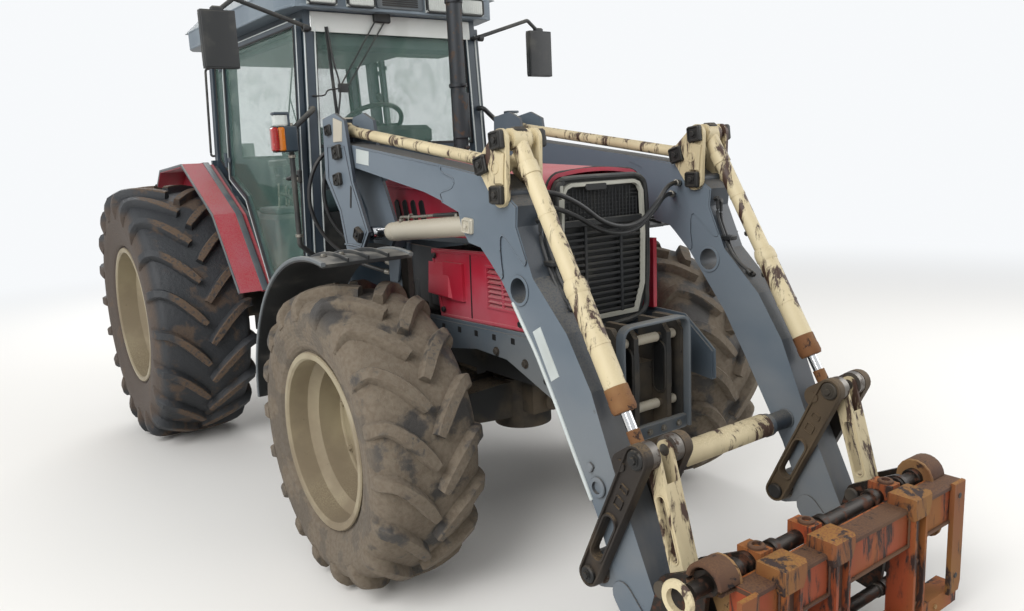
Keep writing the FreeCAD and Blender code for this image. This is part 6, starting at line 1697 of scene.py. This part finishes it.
@dataclass
class ToolFrame:
    """Rusted beam with its channel posts, caps, end hooks and slabs, which ride on the carrier."""

    face_y: float = -4.555
    beam: tuple = (-0.56, 0.66, 0.4, 0.545)
    posts: tuple = (-0.4, -0.145, 0.33)
    shaft: tuple = (-4.43, 0.545)

    def skin(self) -> None:
        """Dark upper chamfer of the beam, weld seams, bolts and the lower bar's end blocks."""
        x0, x1, low, high = self.beam
        y = self.face_y
        top = [block((x0 - 0.001, y - 0.003, high - 0.02), (x1 + 0.001, y + 0.08, high + 0.003), 0.008)]
        foot = [block((x0 - 0.001, y - 0.004, low - 0.002), (x1 + 0.001, y + 0.01, low + 0.01), 0.003)]
        put("beam_scaled_edges", Finish.DARK_RUST, top + foot, "carrier")
        seams = [weld([(x + s * 0.044, y - 0.002, z) for z in (low + 0.004, (low + high) / 2, high - 0.022)], 0.004)
                 for x in self.posts for s in HANDS]
        put("beam_welds", Finish.DARK_RUST, seams, "carrier")
        bolts = []
        for x in (-0.5, -0.27, 0.09, 0.2, 0.5):
            bolts += hex_bolt((x, y + 0.005, 0.095), (0, -1, 0), 0.01, 0.008)
        put("beam_bolts", Finish.RUST, bolts, "carrier", slot="carrier_orange")

    def channels(self) -> None:
        """Each post as an open channel: two flanges, a dark web, a flared cap with an eye, and bolts."""
        flanges, webs, caps, eyes, bolts = [], [], [], [], []
        y = self.face_y
        for x in self.posts:
            for s in HANDS:
                side = [(x + s * 0.04, 0.046), (x + s * 0.04, 0.52), (x + s * 0.026, 0.52), (x + s * 0.026, 0.046)]
                flanges.append(faced(plate(side, y - 0.024, y + 0.004, 0.004)))
            webs.append(faced(plate(rounded(0.026, 0.235, 0.004) + (x, 0.285), y - 0.003, y + 0.002, 0.001)))
            crown = [(x - 0.044, 0.5), (x - 0.064, 0.548), (x - 0.06, 0.586), (x + 0.06, 0.586),
                     (x + 0.064, 0.548), (x + 0.044, 0.5)]
            caps.append(faced(plate(crown, y - 0.028, y + 0.075, 0.01)))
            eyes.append(collar((x, y + 0.112, 0.59), (0, 0, 1), 0.015, 0.027, 0.014))
            for z in (0.18, 0.34):
                bolts += hex_bolt((x, y - 0.003, z), (0, -1, 0), 0.009, 0.008)
        put("post_flanges", Finish.CARRIER_ORANGE, flanges, "carrier")
        put("post_webs", Finish.DARK_RUST, webs, "carrier")
        put("post_caps", Finish.OCHRE_RUST, caps, "carrier")
        put("post_eyes", Finish.DARK_RUST, eyes + bolts, "carrier")

    def hooks(self) -> None:
        """Half-round hook over the shaft at both ends, its cheek, the slab in front and its bolt hole."""
        y, z = self.shaft
        saddles, cheeks, slabs, holes = [], [], [], []
        turn = np.radians(np.linspace(-35, 190, 16))
        for middle, out in ((-0.585, -1), (0.605, 1)):
            arc = [(middle, y + 0.06 * math.cos(t), z + 0.06 * math.sin(t)) for t in turn]
            saddles.append(carried(arc, rounded(0.045, 0.008, 0.006), up=(0, 0.01, 1)))
            x = middle - out * 0.046
            upper = strap((y, z), (-4.488, 0.38), 0.068, 0.048)
            cheeks.append(plate(upper, x - 0.007, x + 0.007, 0.003))
            low, high = sorted((middle - out * 0.03, middle + out * 0.048))
            slab = [(low, 0.115), (low, 0.552), (high, 0.552), (high, 0.15), (high - 0.012, 0.115)]
            slabs.append(faced(plate(slab, self.face_y - 0.016, self.face_y + 0.002, 0.003)))
            for height in (0.5, 0.185):
                holes.append(stud(((low + high) / 2, self.face_y - 0.014, height), (0, -1, 0), 0.011, 0.004))
        put("hook_saddles", Finish.DARK_RUST, saddles, "carrier")
        put("hook_cheeks", Finish.RUST, cheeks, "carrier", slot="carrier_orange")
        put("hook_slabs", Finish.OCHRE_RUST, slabs, "carrier")
        put("hook_holes", Finish.SEAL, holes, "carrier", slot="carrier_orange")

    def carrier(self) -> None:
        """Collars, the ring at the shaft's near end and pin keepers of the dark carrier."""
        y, z = self.shaft
        ring = collar((-0.7, y + 0.022, z - 0.022), (-1, 0, 0), 0.036, 0.06, 0.02)
        put("shaft_end_ring", Finish.LINK_CREAM, [ring], "carrier")
        bands = [collar((x, y, z), (1, 0, 0), 0.025, 0.036, 0.03) for x in (-0.505, -0.32, -0.06, 0.245, 0.42, 0.528)]
        bands += [collar((0.69, y, z), (1, 0, 0), 0.002, 0.033, 0.014)]
        put("shaft_collars", Finish.SHAFT_STEEL, bands, "carrier")
        heads = []
        for place in ((-4.272, 0.466), (-4.38, 0.12)):
            heads += [stud((0.632, *place), (1, 0, 0), 0.028, 0.012), stud((0.408, *place), (-1, 0, 0), 0.028, 0.01)]
        put("carrier_pin_heads", Finish.PIN_BLOCK, both(heads), "carrier", slot="shaft_dark")

    def build(self) -> None:
        """Make skin, channels, hooks and the carrier's small parts."""
        self.skin()
        self.channels()
        self.hooks()
        self.carrier()


# Chassis


@dataclass
class Chassis:
    """Front bracket, side frames, engine, axle, drive line and rear hitch, which ride on the tractor."""

    bracket_y: float = -3.64
    frame_x: float = 0.385

    def bracket(self) -> None:
        """Bent frame round the bracket, oval rims on its inner plates, cross pins and bolts."""
        y = self.bracket_y
        line = [(-0.186, y - 0.01, 0.65), (-0.186, y - 0.01, 1.118), (0.186, y - 0.01, 1.118),
                (0.186, y - 0.01, 0.65)]
        bent = carried(bent_line(line, 0.055), rounded(0.007, 0.022, 0.005), up=(0, 1, 0))
        shelf = block((-0.182, y - 0.016, 0.64), (0.182, y + 0.01, 0.7), 0.006)
        put("bracket_frame", Finish.FRAME_GREY, [bent, shelf], slot="cast_dark")
        rims, holes = [], []
        oval = strap((-3.6, 0.985), (-3.6, 0.835), 0.026, 0.026, 10)
        for x0, x1 in ((0.105, 0.113), (0.08, 0.072)):
            rims.append(lip(drawn_in(oval[::-1], -0.012), x0, x1, 0.012))
            holes.append(plate(oval, min(x0, x1) + 0.001, max(x0, x1) - 0.003, 0.001))
        put("bracket_plate_rims", Finish.PIN_BLOCK, both(rims))
        put("bracket_plate_holes", Finish.SEAL, both(holes), slot="cast_dark")
        pins = []
        for z in (1.04, 0.76):
            for x0, x1 in ((-0.16, -0.11), (0.11, 0.16), (-0.062, 0.062)):
                pins.append(tube([(x0, -3.6, z), (x1, -3.6, z)], 0.02, 16))
            pins.append(tube([(-0.075, -3.6, z), (-0.06, -3.6, z)], 0.028, 16))
        put("bracket_pins", Finish.LIFT_CREAM, pins, slot="pin_steel")
        bolts = []
        for x in (-0.13, -0.04, 0.04, 0.13):
            bolts += hex_bolt((x, y - 0.016, 0.67), (0, -1, 0), 0.01, 0.008)
        put("bracket_bolts", Finish.BOLT_STEEL, bolts)

    def side_frames(self) -> None:
        """Square holes along each side plate's top, bolt pairs, an edge lip and a gusset to the mast foot."""
        x = self.frame_x
        holes = [plate(tilted((y, 1.02 - 0.02 * (y + 2.4)), 0.013, 0.013, 2, 0.003), x - 0.002, x + 0.0015, 0.0005)
                 for y in np.arange(-3.22, -2.4, 0.135)]
        put("side_frame_holes", Finish.SEAL, both(holes), slot="loader_blue")
        bolts = []
        for y, z in ((-2.34, 0.935), (-2.34, 1.005), (-2.44, 0.935), (-2.44, 1.005), (-3.1, 0.975), (-3.3, 0.955),
                     (-3.44, 0.99), (-3.44, 0.91), (-3.57, 0.93), (-3.57, 0.85)):
            bolts += hex_bolt((x, y, z), (1, 0, 0), 0.014, 0.01)
        put("side_frame_bolts", Finish.PIN_BLOCK, both(bolts), slot="pin_steel")
        edge = [carried([(x - 0.012, y, z) for y, z in ((-2.3, 1.047), (-3.33, 1.067), (-3.475, 1.061),
                                                              (-3.636, 0.93), (-3.636, 0.812))],
                        rounded(0.014, 0.004, 0.003), up=(1, 0, 0))]
        rib = [block((0.344, -2.345, 1.06), (0.362, -2.333, 1.395), 0.003),
               block((0.344, -2.147, 1.06), (0.362, -2.135, 1.37), 0.003)]
        foot = [plate([(-2.32, 1.372), (-2.18, 1.372), (-2.18, 1.19), (-2.26, 1.19)], 0.372, 0.384, 0.003)]
        put("side_frame_edges", Finish.FRAME_GREY, both(edge + rib + foot))

    def engine(self) -> None:
        """Block ribs, manifold, filters, starter, pulleys and pipes between hood and side frame."""
        ribs = [block((0.246, y, 0.96), (0.258, y + 0.016, 1.25), 0.004) for y in np.arange(-2.98, -2.16, 0.135)]
        rail = [block((0.246, -3.05, 1.262), (0.264, -2.12, 1.296), 0.005),
                block((0.246, -3.05, 0.93), (0.262, -2.12, 0.952), 0.004)]
        put("engine_ribs", Finish.ENGINE_GREY, both(ribs + rail))
        filters = [turned([(0.0, 0.0), (0.04, 0.0), (0.047, 0.012), (0.047, 0.135), (0.036, 0.15), (0.0, 0.15)],
                          (0, 0, -1), (-0.302, y, 1.225), 28) for y in (-2.505, -2.395)]
        starter = [tube([(-0.29, -2.96, 1.01), (-0.29, -2.7, 1.01)], 0.048, 20),
                   tube([(-0.322, -2.92, 1.075), (-0.322, -2.78, 1.075)], 0.024, 16)]
        put("engine_filters", Finish.BLACK_PLASTIC, filters, slot="engine_grey")
        put("engine_starter", Finish.CAST_IRON, starter)
        manifold = [tube([(0.296, -2.98, 1.215), (0.296, -2.2, 1.215)], 0.034, 16)]
        manifold += [tube([(0.25, y, 1.215), (0.296, y, 1.215)], 0.026, 14) for y in np.arange(-2.92, -2.2, 0.165)]
        put("engine_manifold", Finish.RUST, manifold, slot="exhaust_steel")
        pulley = [turned([(0.02, 0.0), (0.095, 0.0), (0.095, 0.006), (0.082, 0.014), (0.095, 0.022), (0.095, 0.028),
                          (0.02, 0.028)], (0, -1, 0), (0.0, -3.13, z), 40) for z in (0.9, 1.15)]
        put("engine_pulleys", Finish.CAST_IRON, pulley)
        runs = (((-0.262, -2.98, 1.285), (-0.3, -2.8, 1.25), (-0.3, -2.62, 1.3), (-0.262, -2.5, 1.285)),
                ((-0.262, -2.9, 1.12), (-0.31, -2.7, 1.14), (-0.31, -2.6, 1.000), (-0.262, -2.45, 0.985)),
                ((-0.235, -2.22, 1.09), (-0.262, -2.1, 1.02), (-0.25, -1.94, 0.98), (-0.2, -1.82, 0.96)))
        put("engine_pipes", Finish.HOSE, [tube(smooth_line(list(run), 7), 0.009, 10) for run in runs])

    def driveline(self) -> None:
        """Flange bolts and ribs of the case, axle bolt rings, the front shaft and the steering cylinder."""
        bolts, ribs = [], []
        for z in (0.62, 0.74, 0.86, 0.98):
            bolts += hex_bolt((0.197, -2.07, z), (0, -1, 0), 0.01, 0.008)
            bolts += hex_bolt((0.19, -1.56, z + 0.02), (1, 0, 0), 0.011, 0.009)
        for step in range(10):
            turn = math.tau * step / 10
            bolts += hex_bolt((0.6, 0.105 * math.cos(turn), 0.85 + 0.105 * math.sin(turn)), (1, 0, 0), 0.011, 0.009)
        flange = [faced(plate(rounded(0.203, 0.25, 0.05) + (0.0, 0.82), y, y + 0.02, 0.004)) for y in (-2.098, -1.11)]
        ribs += [block((0.186, y, 0.6), (0.2, y + 0.014, 1.04), 0.004) for y in (-1.9, -1.74, -0.92, -0.7, -0.48)]
        put("case_bolts", Finish.PIN_BLOCK, both(bolts))
        put("case_ribs", Finish.CAST_IRON, both(ribs) + flange)
        shaft = [tube([(0.0, -2.56, 0.625), (0.0, -2.03, 0.645)], 0.032, 16),
                 tube([(0.0, -2.13, 0.64), (0.0, -2.07, 0.643)], 0.046, 16)]
        put("front_drive_shaft", Finish.CAST_IRON, shaft)
        ram = [tube([(-0.3, -2.605, 0.7), (0.3, -2.605, 0.7)], 0.033, 18)]
        ram += [tube([(s * 0.275, -2.605, 0.7), (s * 0.3, -2.605, 0.7)], 0.039, 18) for s in HANDS]
        put("steering_ram", Finish.ENGINE_GREY, ram, slot="cast_dark")
        rods = [tube([(s * 0.3, -2.605, 0.7), (s * 0.455, -2.605, 0.7)], 0.014, 12) for s in HANDS]
        put("steering_ram_rods", Finish.CHROME, rods)

    def hitch(self) -> None:
        """Power take-off with its guard, top link bracket, couplers, drawbar pin and the rear case's bolts."""
        guard = carried(bent_line([(-0.13, 0.36, 0.64), (-0.13, 0.36, 0.8), (0.13, 0.36, 0.8),
                                   (0.13, 0.36, 0.64)], 0.04), rounded(0.005, 0.05, 0.004), up=(0, 1, 0))
        put("power_shaft_guard", Finish.BLACK_PLASTIC, [guard])
        stub = [tube([(0.0, 0.3, 0.7), (0.0, 0.4, 0.7)], 0.018, 18),
                tube([(0.0, 0.3, 0.7), (0.0, 0.335, 0.7)], 0.045, 20)]
        put("power_shaft", Finish.PIN_STEEL, stub)
        cheeks = [plate(strap((0.325, 0.93), (0.375, 0.93), 0.055, 0.036), x - 0.009, x + 0.009, 0.003)
                  for x in (-0.045, 0.045)]
        cheeks += [block((-0.11, 0.305, 0.85), (0.11, 0.322, 1.01), 0.006)]
        put("top_link_bracket", Finish.CAST_IRON, cheeks)
        pins = [tube([(-0.07, 0.375, 0.93), (0.07, 0.375, 0.93)], 0.012, 14),
                tube([(0.0, 0.64, 0.415), (0.0, 0.64, 0.52)], 0.016, 16),
                stud((0.0, 0.64, 0.52), (0, 0, 1), 0.026, 0.012)]
        for x, z in ((-0.15, 0.62), (-0.15, 0.76), (-0.15, 0.9), (-0.15, 1.04), (-0.05, 1.14), (0.05, 1.14)):
            for s in HANDS if abs(x) > 0.1 else (1,):
                pins += hex_bolt((x * s, 0.31, z), (0, 1, 0), 0.012, 0.01)
        put("hitch_pins", Finish.PIN_STEEL, pins)
        taps = []
        for x in (-0.12, -0.04, 0.04, 0.12):
            taps += [tube([(x, 0.305, 1.075), (x, 0.35, 1.068)], 0.019, 16),
                     stud((x, 0.35, 1.068), (0, 1, -0.1), 0.023, 0.014)]
        put("rear_couplers", Finish.BLACK_PLASTIC, taps)

    def build(self) -> None:
        """Make bracket, side frames, engine, drive line and hitch."""
        self.bracket()
        self.side_frames()
        self.engine()
        self.driveline()
        self.hitch()


# Guards, steps and tank


@dataclass
class Guards:
    """Edges and ribs of the fenders, rear lamps, step treads and the tank's straps."""

    front: tuple = (-2.75, 0.65, 0.77)
    rear_radius: float = 0.85
    rear_spots: tuple = ((168.8, 0.231), (136.4, 0.113), (97.5, 0.143), (64.7, 0.201), (51.0, 0.167))

    def front_guards(self) -> None:
        """Rolled edges painted pale as a highlight, three shallow ribs and stay bolts on each front guard."""
        y, z, r = self.front
        turn = np.radians(np.linspace(2, 101, 24))

        def arch(x: float, grow: float, section: Floats) -> Shape:
            """Strip carried over the guard at x."""
            reach = r + grow
            return carried([(x, y + reach * math.cos(t), z + reach * math.sin(t)) for t in turn], section, (1, 0, 0))

        # The lips' pale colour is a painted highlight.
        lips = [arch(x, 0.0, rounded(0.008, 0.0095, 0.004)) for x in (0.654, 1.046)]
        ribs = [arch(x, 0.002, rounded(0.014, 0.004, 0.003)) for x in (0.76, 0.85, 0.94)]
        bolts = []
        for x in (0.9, 0.98):
            bolts += hex_bolt((x, y, z + r + 0.001), (0, 0, 1), 0.011, 0.008)
        for side, tag in SIDES:
            for part, finish, shapes in (("lips", Finish.HIGHLIGHT_GUARD_EDGE, lips), ("ribs", Finish.GUARD_PLASTIC, ribs),
                                         ("bolts", Finish.BOLT_STEEL, bolts)):
                put(f"front_guard_{part}_{tag}", finish, on_side(shapes, side), f"steering_knuckle_{tag}")

    def rear_line(self, grow: float) -> list:
        """Corners of the rear fender's top in the side view, moved out by grow."""
        r = self.rear_radius
        return [((r + c + grow) * math.cos(math.radians(a)), r + (r + c + grow) * math.sin(math.radians(a)))
                for a, c in self.rear_spots]

    def rear_guards(self) -> None:
        """Outer lip painted pale as a highlight, grey inner band and rib of each rear fender, with the lamp at its
        tail.
        """
        # The lip's pale colour is a painted highlight.
        lips = [carried(sided(self.rear_line(-0.008), 0.799), rounded(0.0095, 0.005, 0.004), up=(1, 0, 0))]
        band = [carried(sided(self.rear_line(0.002), 0.64), rounded(0.003, 0.02, 0.003), up=(1, 0, 0))]
        put("rear_guard_lips", Finish.HIGHLIGHT_GUARD_EDGE, both(lips))
        put("rear_guard_bands", Finish.TRIM_GREY, both(band))
        housing = [block((0.636, 0.65, 1.552), (0.794, 0.676, 1.7), 0.008)]
        put("tail_lamp_cases", Finish.BLACK_PLASTIC, both(housing))
        red = [block((0.648, 0.668, 1.562), (0.782, 0.686, 1.622), 0.006)]
        amber = [block((0.648, 0.668, 1.628), (0.782, 0.686, 1.69), 0.006)]
        put("tail_lamp_red", Finish.RED_LENS, both(red))
        put("tail_lamp_amber", Finish.AMBER_LENS, both(amber))

    def steps(self) -> None:
        """Toothed treads and side rails of the steps, with the tank's straps, cap and seam."""
        treads = []
        for z in (0.458, 0.728, 0.988):
            treads += [block((0.44, y, z - 0.001), (0.68, y + 0.01, z + 0.009), 0.002)
                       for y in np.arange(-1.63, -1.31, 0.038)]
            treads += [block((0.432, -1.645, z - 0.03), (0.704, -1.638, z + 0.006), 0.003)]
        put("step_treads", Finish.PIN_BLOCK, both(treads), slot="plastic_black")
        straps = [block((0.204, y, 0.596), (0.416, y + 0.04, 1.076), 0.006) for y in (-1.5, -1.1)]
        cap = [turned([(0.0, 0.0), (0.045, 0.0), (0.045, 0.022), (0.036, 0.03), (0.0, 0.03)], (1, 0, 0),
                      (0.408, -1.3, 0.98), 28)]
        seam = [block((0.404, -1.598, 0.832), (0.414, -0.962, 0.846), 0.003)]
        put("tank_straps", Finish.PIN_BLOCK, straps, slot="plastic_black")
        put("tank_cap", Finish.BLACK_PLASTIC, cap + seam)

    def build(self) -> None:
        """Make the guards' edges, lamps, steps and tank trim."""
        self.front_guards()
        self.rear_guards()
        self.steps()


# Light and camera


@dataclass
class Studio:
    """Pale floor, soft lamps and the camera at the photograph's place."""

    eye: tuple = (-2.3227, -5.8759, 1.7919)
    yaw: float = 0.6312
    pitch: float = -0.1818
    roll: float = -0.0457
    lens: float = 28.66

    def camera(self) -> None:
        """Set the camera: forward from yaw and pitch, then right and up turned by roll about it."""
        forward = np.array((math.sin(self.yaw) * math.cos(self.pitch), math.cos(self.yaw) * math.cos(self.pitch),
                            math.sin(self.pitch)))
        level = np.array((math.cos(self.yaw), -math.sin(self.yaw), 0.0))
        over = np.cross(level, forward)
        right = level * math.cos(self.roll) + over * math.sin(self.roll)
        up = over * math.cos(self.roll) - level * math.sin(self.roll)
        data = bpy.data.cameras.new("camera")
        data.lens, data.sensor_width, data.clip_start = self.lens, 36.0, 0.05
        made = new_object("camera", data)
        turn = Matrix(np.column_stack([right, up, -forward]).tolist()).to_4x4()
        made.matrix_world = Matrix.Translation(at(*self.eye)) @ turn
        bpy.context.scene.camera = made

    def lamp(self, name: str, place: tuple, aim: tuple, size: float, power: float) -> None:
        """Add a square soft lamp that looks at a point."""
        data = bpy.data.lights.new(name, "AREA")
        data.size, data.energy = size, power
        made = new_object(name, data)
        made.location = place
        made.rotation_euler = (Vector(aim) - Vector(place)).to_track_quat("-Z", "Y").to_euler()

    def floor(self) -> None:
        """Lay the pale floor under the wheels."""
        reach = np.linspace(-40, 40, 3)
        x, y = np.meshgrid(reach, reach, indexing="ij")
        shape = sheet_of(np.stack([x, y, np.full_like(x, -0.002)], -1))
        mesh = bpy.data.meshes.new("floor")
        mesh.from_pydata(shape.points.tolist(), [], shape.faces)
        floor = new_object("floor", mesh)
        made = bpy.data.materials.new("pale_floor")
        made.use_nodes = True
        graph = Graph(made.node_tree)
        away = graph.add("VectorMath", {0: graph.place()}, operation="LENGTH")["Value"]
        open_air = graph.times(graph.step(away, 4.5, 12.0), graph.add("LightPath")["Is Camera Ray"])
        graph.close(graph.mix(open_air, "#EAE8E4", "#000000"), 0.9,
                    {"Specular IOR Level": 0.0, "Emission Color": linear("#F2F4F6"),
                     "Emission Strength": graph.times(open_air, 1.05)})
        mesh.materials.append(made)

    def world(self) -> None:
        """Fill the background with an even pale sky that lights softly and shows nearly white."""
        world = bpy.data.worlds.new("sky")
        world.use_nodes = True
        graph = Graph(world.node_tree)
        path = graph.add("LightPath")
        seen = graph.larger(graph.larger(path["Is Camera Ray"], path["Is Glossy Ray"]), path["Is Transmission Ray"])
        sky = graph.add("Background", {"Color": linear("#F2F4F6"), "Strength": graph.ramp(seen, 0.62, 1.05)})
        graph.add("OutputWorld", {"Surface": sky[0]})
        bpy.context.scene.world = world

    def build(self) -> None:
        """Make floor, sky, lamps and camera."""
        self.floor()
        self.world()
        self.lamp("key", at(-6.5, -5.5, 6.0), at(0, -1.5, 1.0), 5.0, 620)
        self.lamp("fill", at(6.0, -6.0, 4.5), at(0, -2.0, 1.0), 5.0, 260)
        self.lamp("back", at(1.5, 6.5, 6.0), at(0, 0, 1.4), 5.0, 380)
        self.camera()
        bpy.context.scene.view_settings.view_transform = "Standard"


NODE_FINISHES = {
    Finish.ENGINE_GREY: "engine_block",
    Finish.CAST_IRON: "drive_housing front_support front_axle knuckle_left knuckle_right rear_hitch lower_links"
                      " rock_arms lift_hangers",
    Finish.ARM_GREY: "loader_arms loader_masts",
    Finish.FRAME_GREY: "loader_side_frames",
    Finish.LINK_CREAM: "bell_cranks levelling_links tool_barrels push_links",
    Finish.LIFT_CREAM: "lift_barrels",
    Finish.CHROME: "lift_rods tool_rods",
    Finish.PIN_STEEL: "carrier_pins cast_link_pins knee_pins",
    Finish.CAST_LINK: "cast_links",
    Finish.SHAFT_STEEL: "carrier_frame",
    Finish.CARRIER_ORANGE: "tool_frame",
    Finish.EXHAUST: "exhaust_stack",
    Finish.BODY_RED: "hood side_panels rear_fenders",
    Finish.CAB_GREY: "cab_frame door_frame_left door_frame_right cowl",
    Finish.ROOF_GREY: "cab_roof",
    Finish.GUARD_PLASTIC: "front_fender_left front_fender_right",
    Finish.BLACK_PLASTIC: "cab_steps cab_interior steering_wheel mirrors grab_rails grille",
    Finish.CAB_GLASS: "cab_glass door_glass_left door_glass_right",
    Finish.SEAT_CLOTH: "seat_pads",
    Finish.LAMP_GLASS: "work_lamps",
}


def dress_nodes() -> None:
    """Give every node that stays its own finish."""
    for finish, nodes in NODE_FINISHES.items():
        for node in nodes.split():
            slots = frame["nodes"][node].data.materials
            slots.clear()
            slots.append(finish.material())


def main() -> None:
    """Build the pieces in order."""
    logging.basicConfig(level=logging.INFO, format="%(message)s")
    dress_nodes()
    build_wheels()
    Loader().build()
    build_hoses()
    Bonnet().build()
    Exhaust().build()
    Cab().build()
    Inside().build()
    build_seat()
    ToolFrame().build()
    Chassis().build()
    Guards().build()
    Studio().build()


if __name__ == "__main__":
    main()
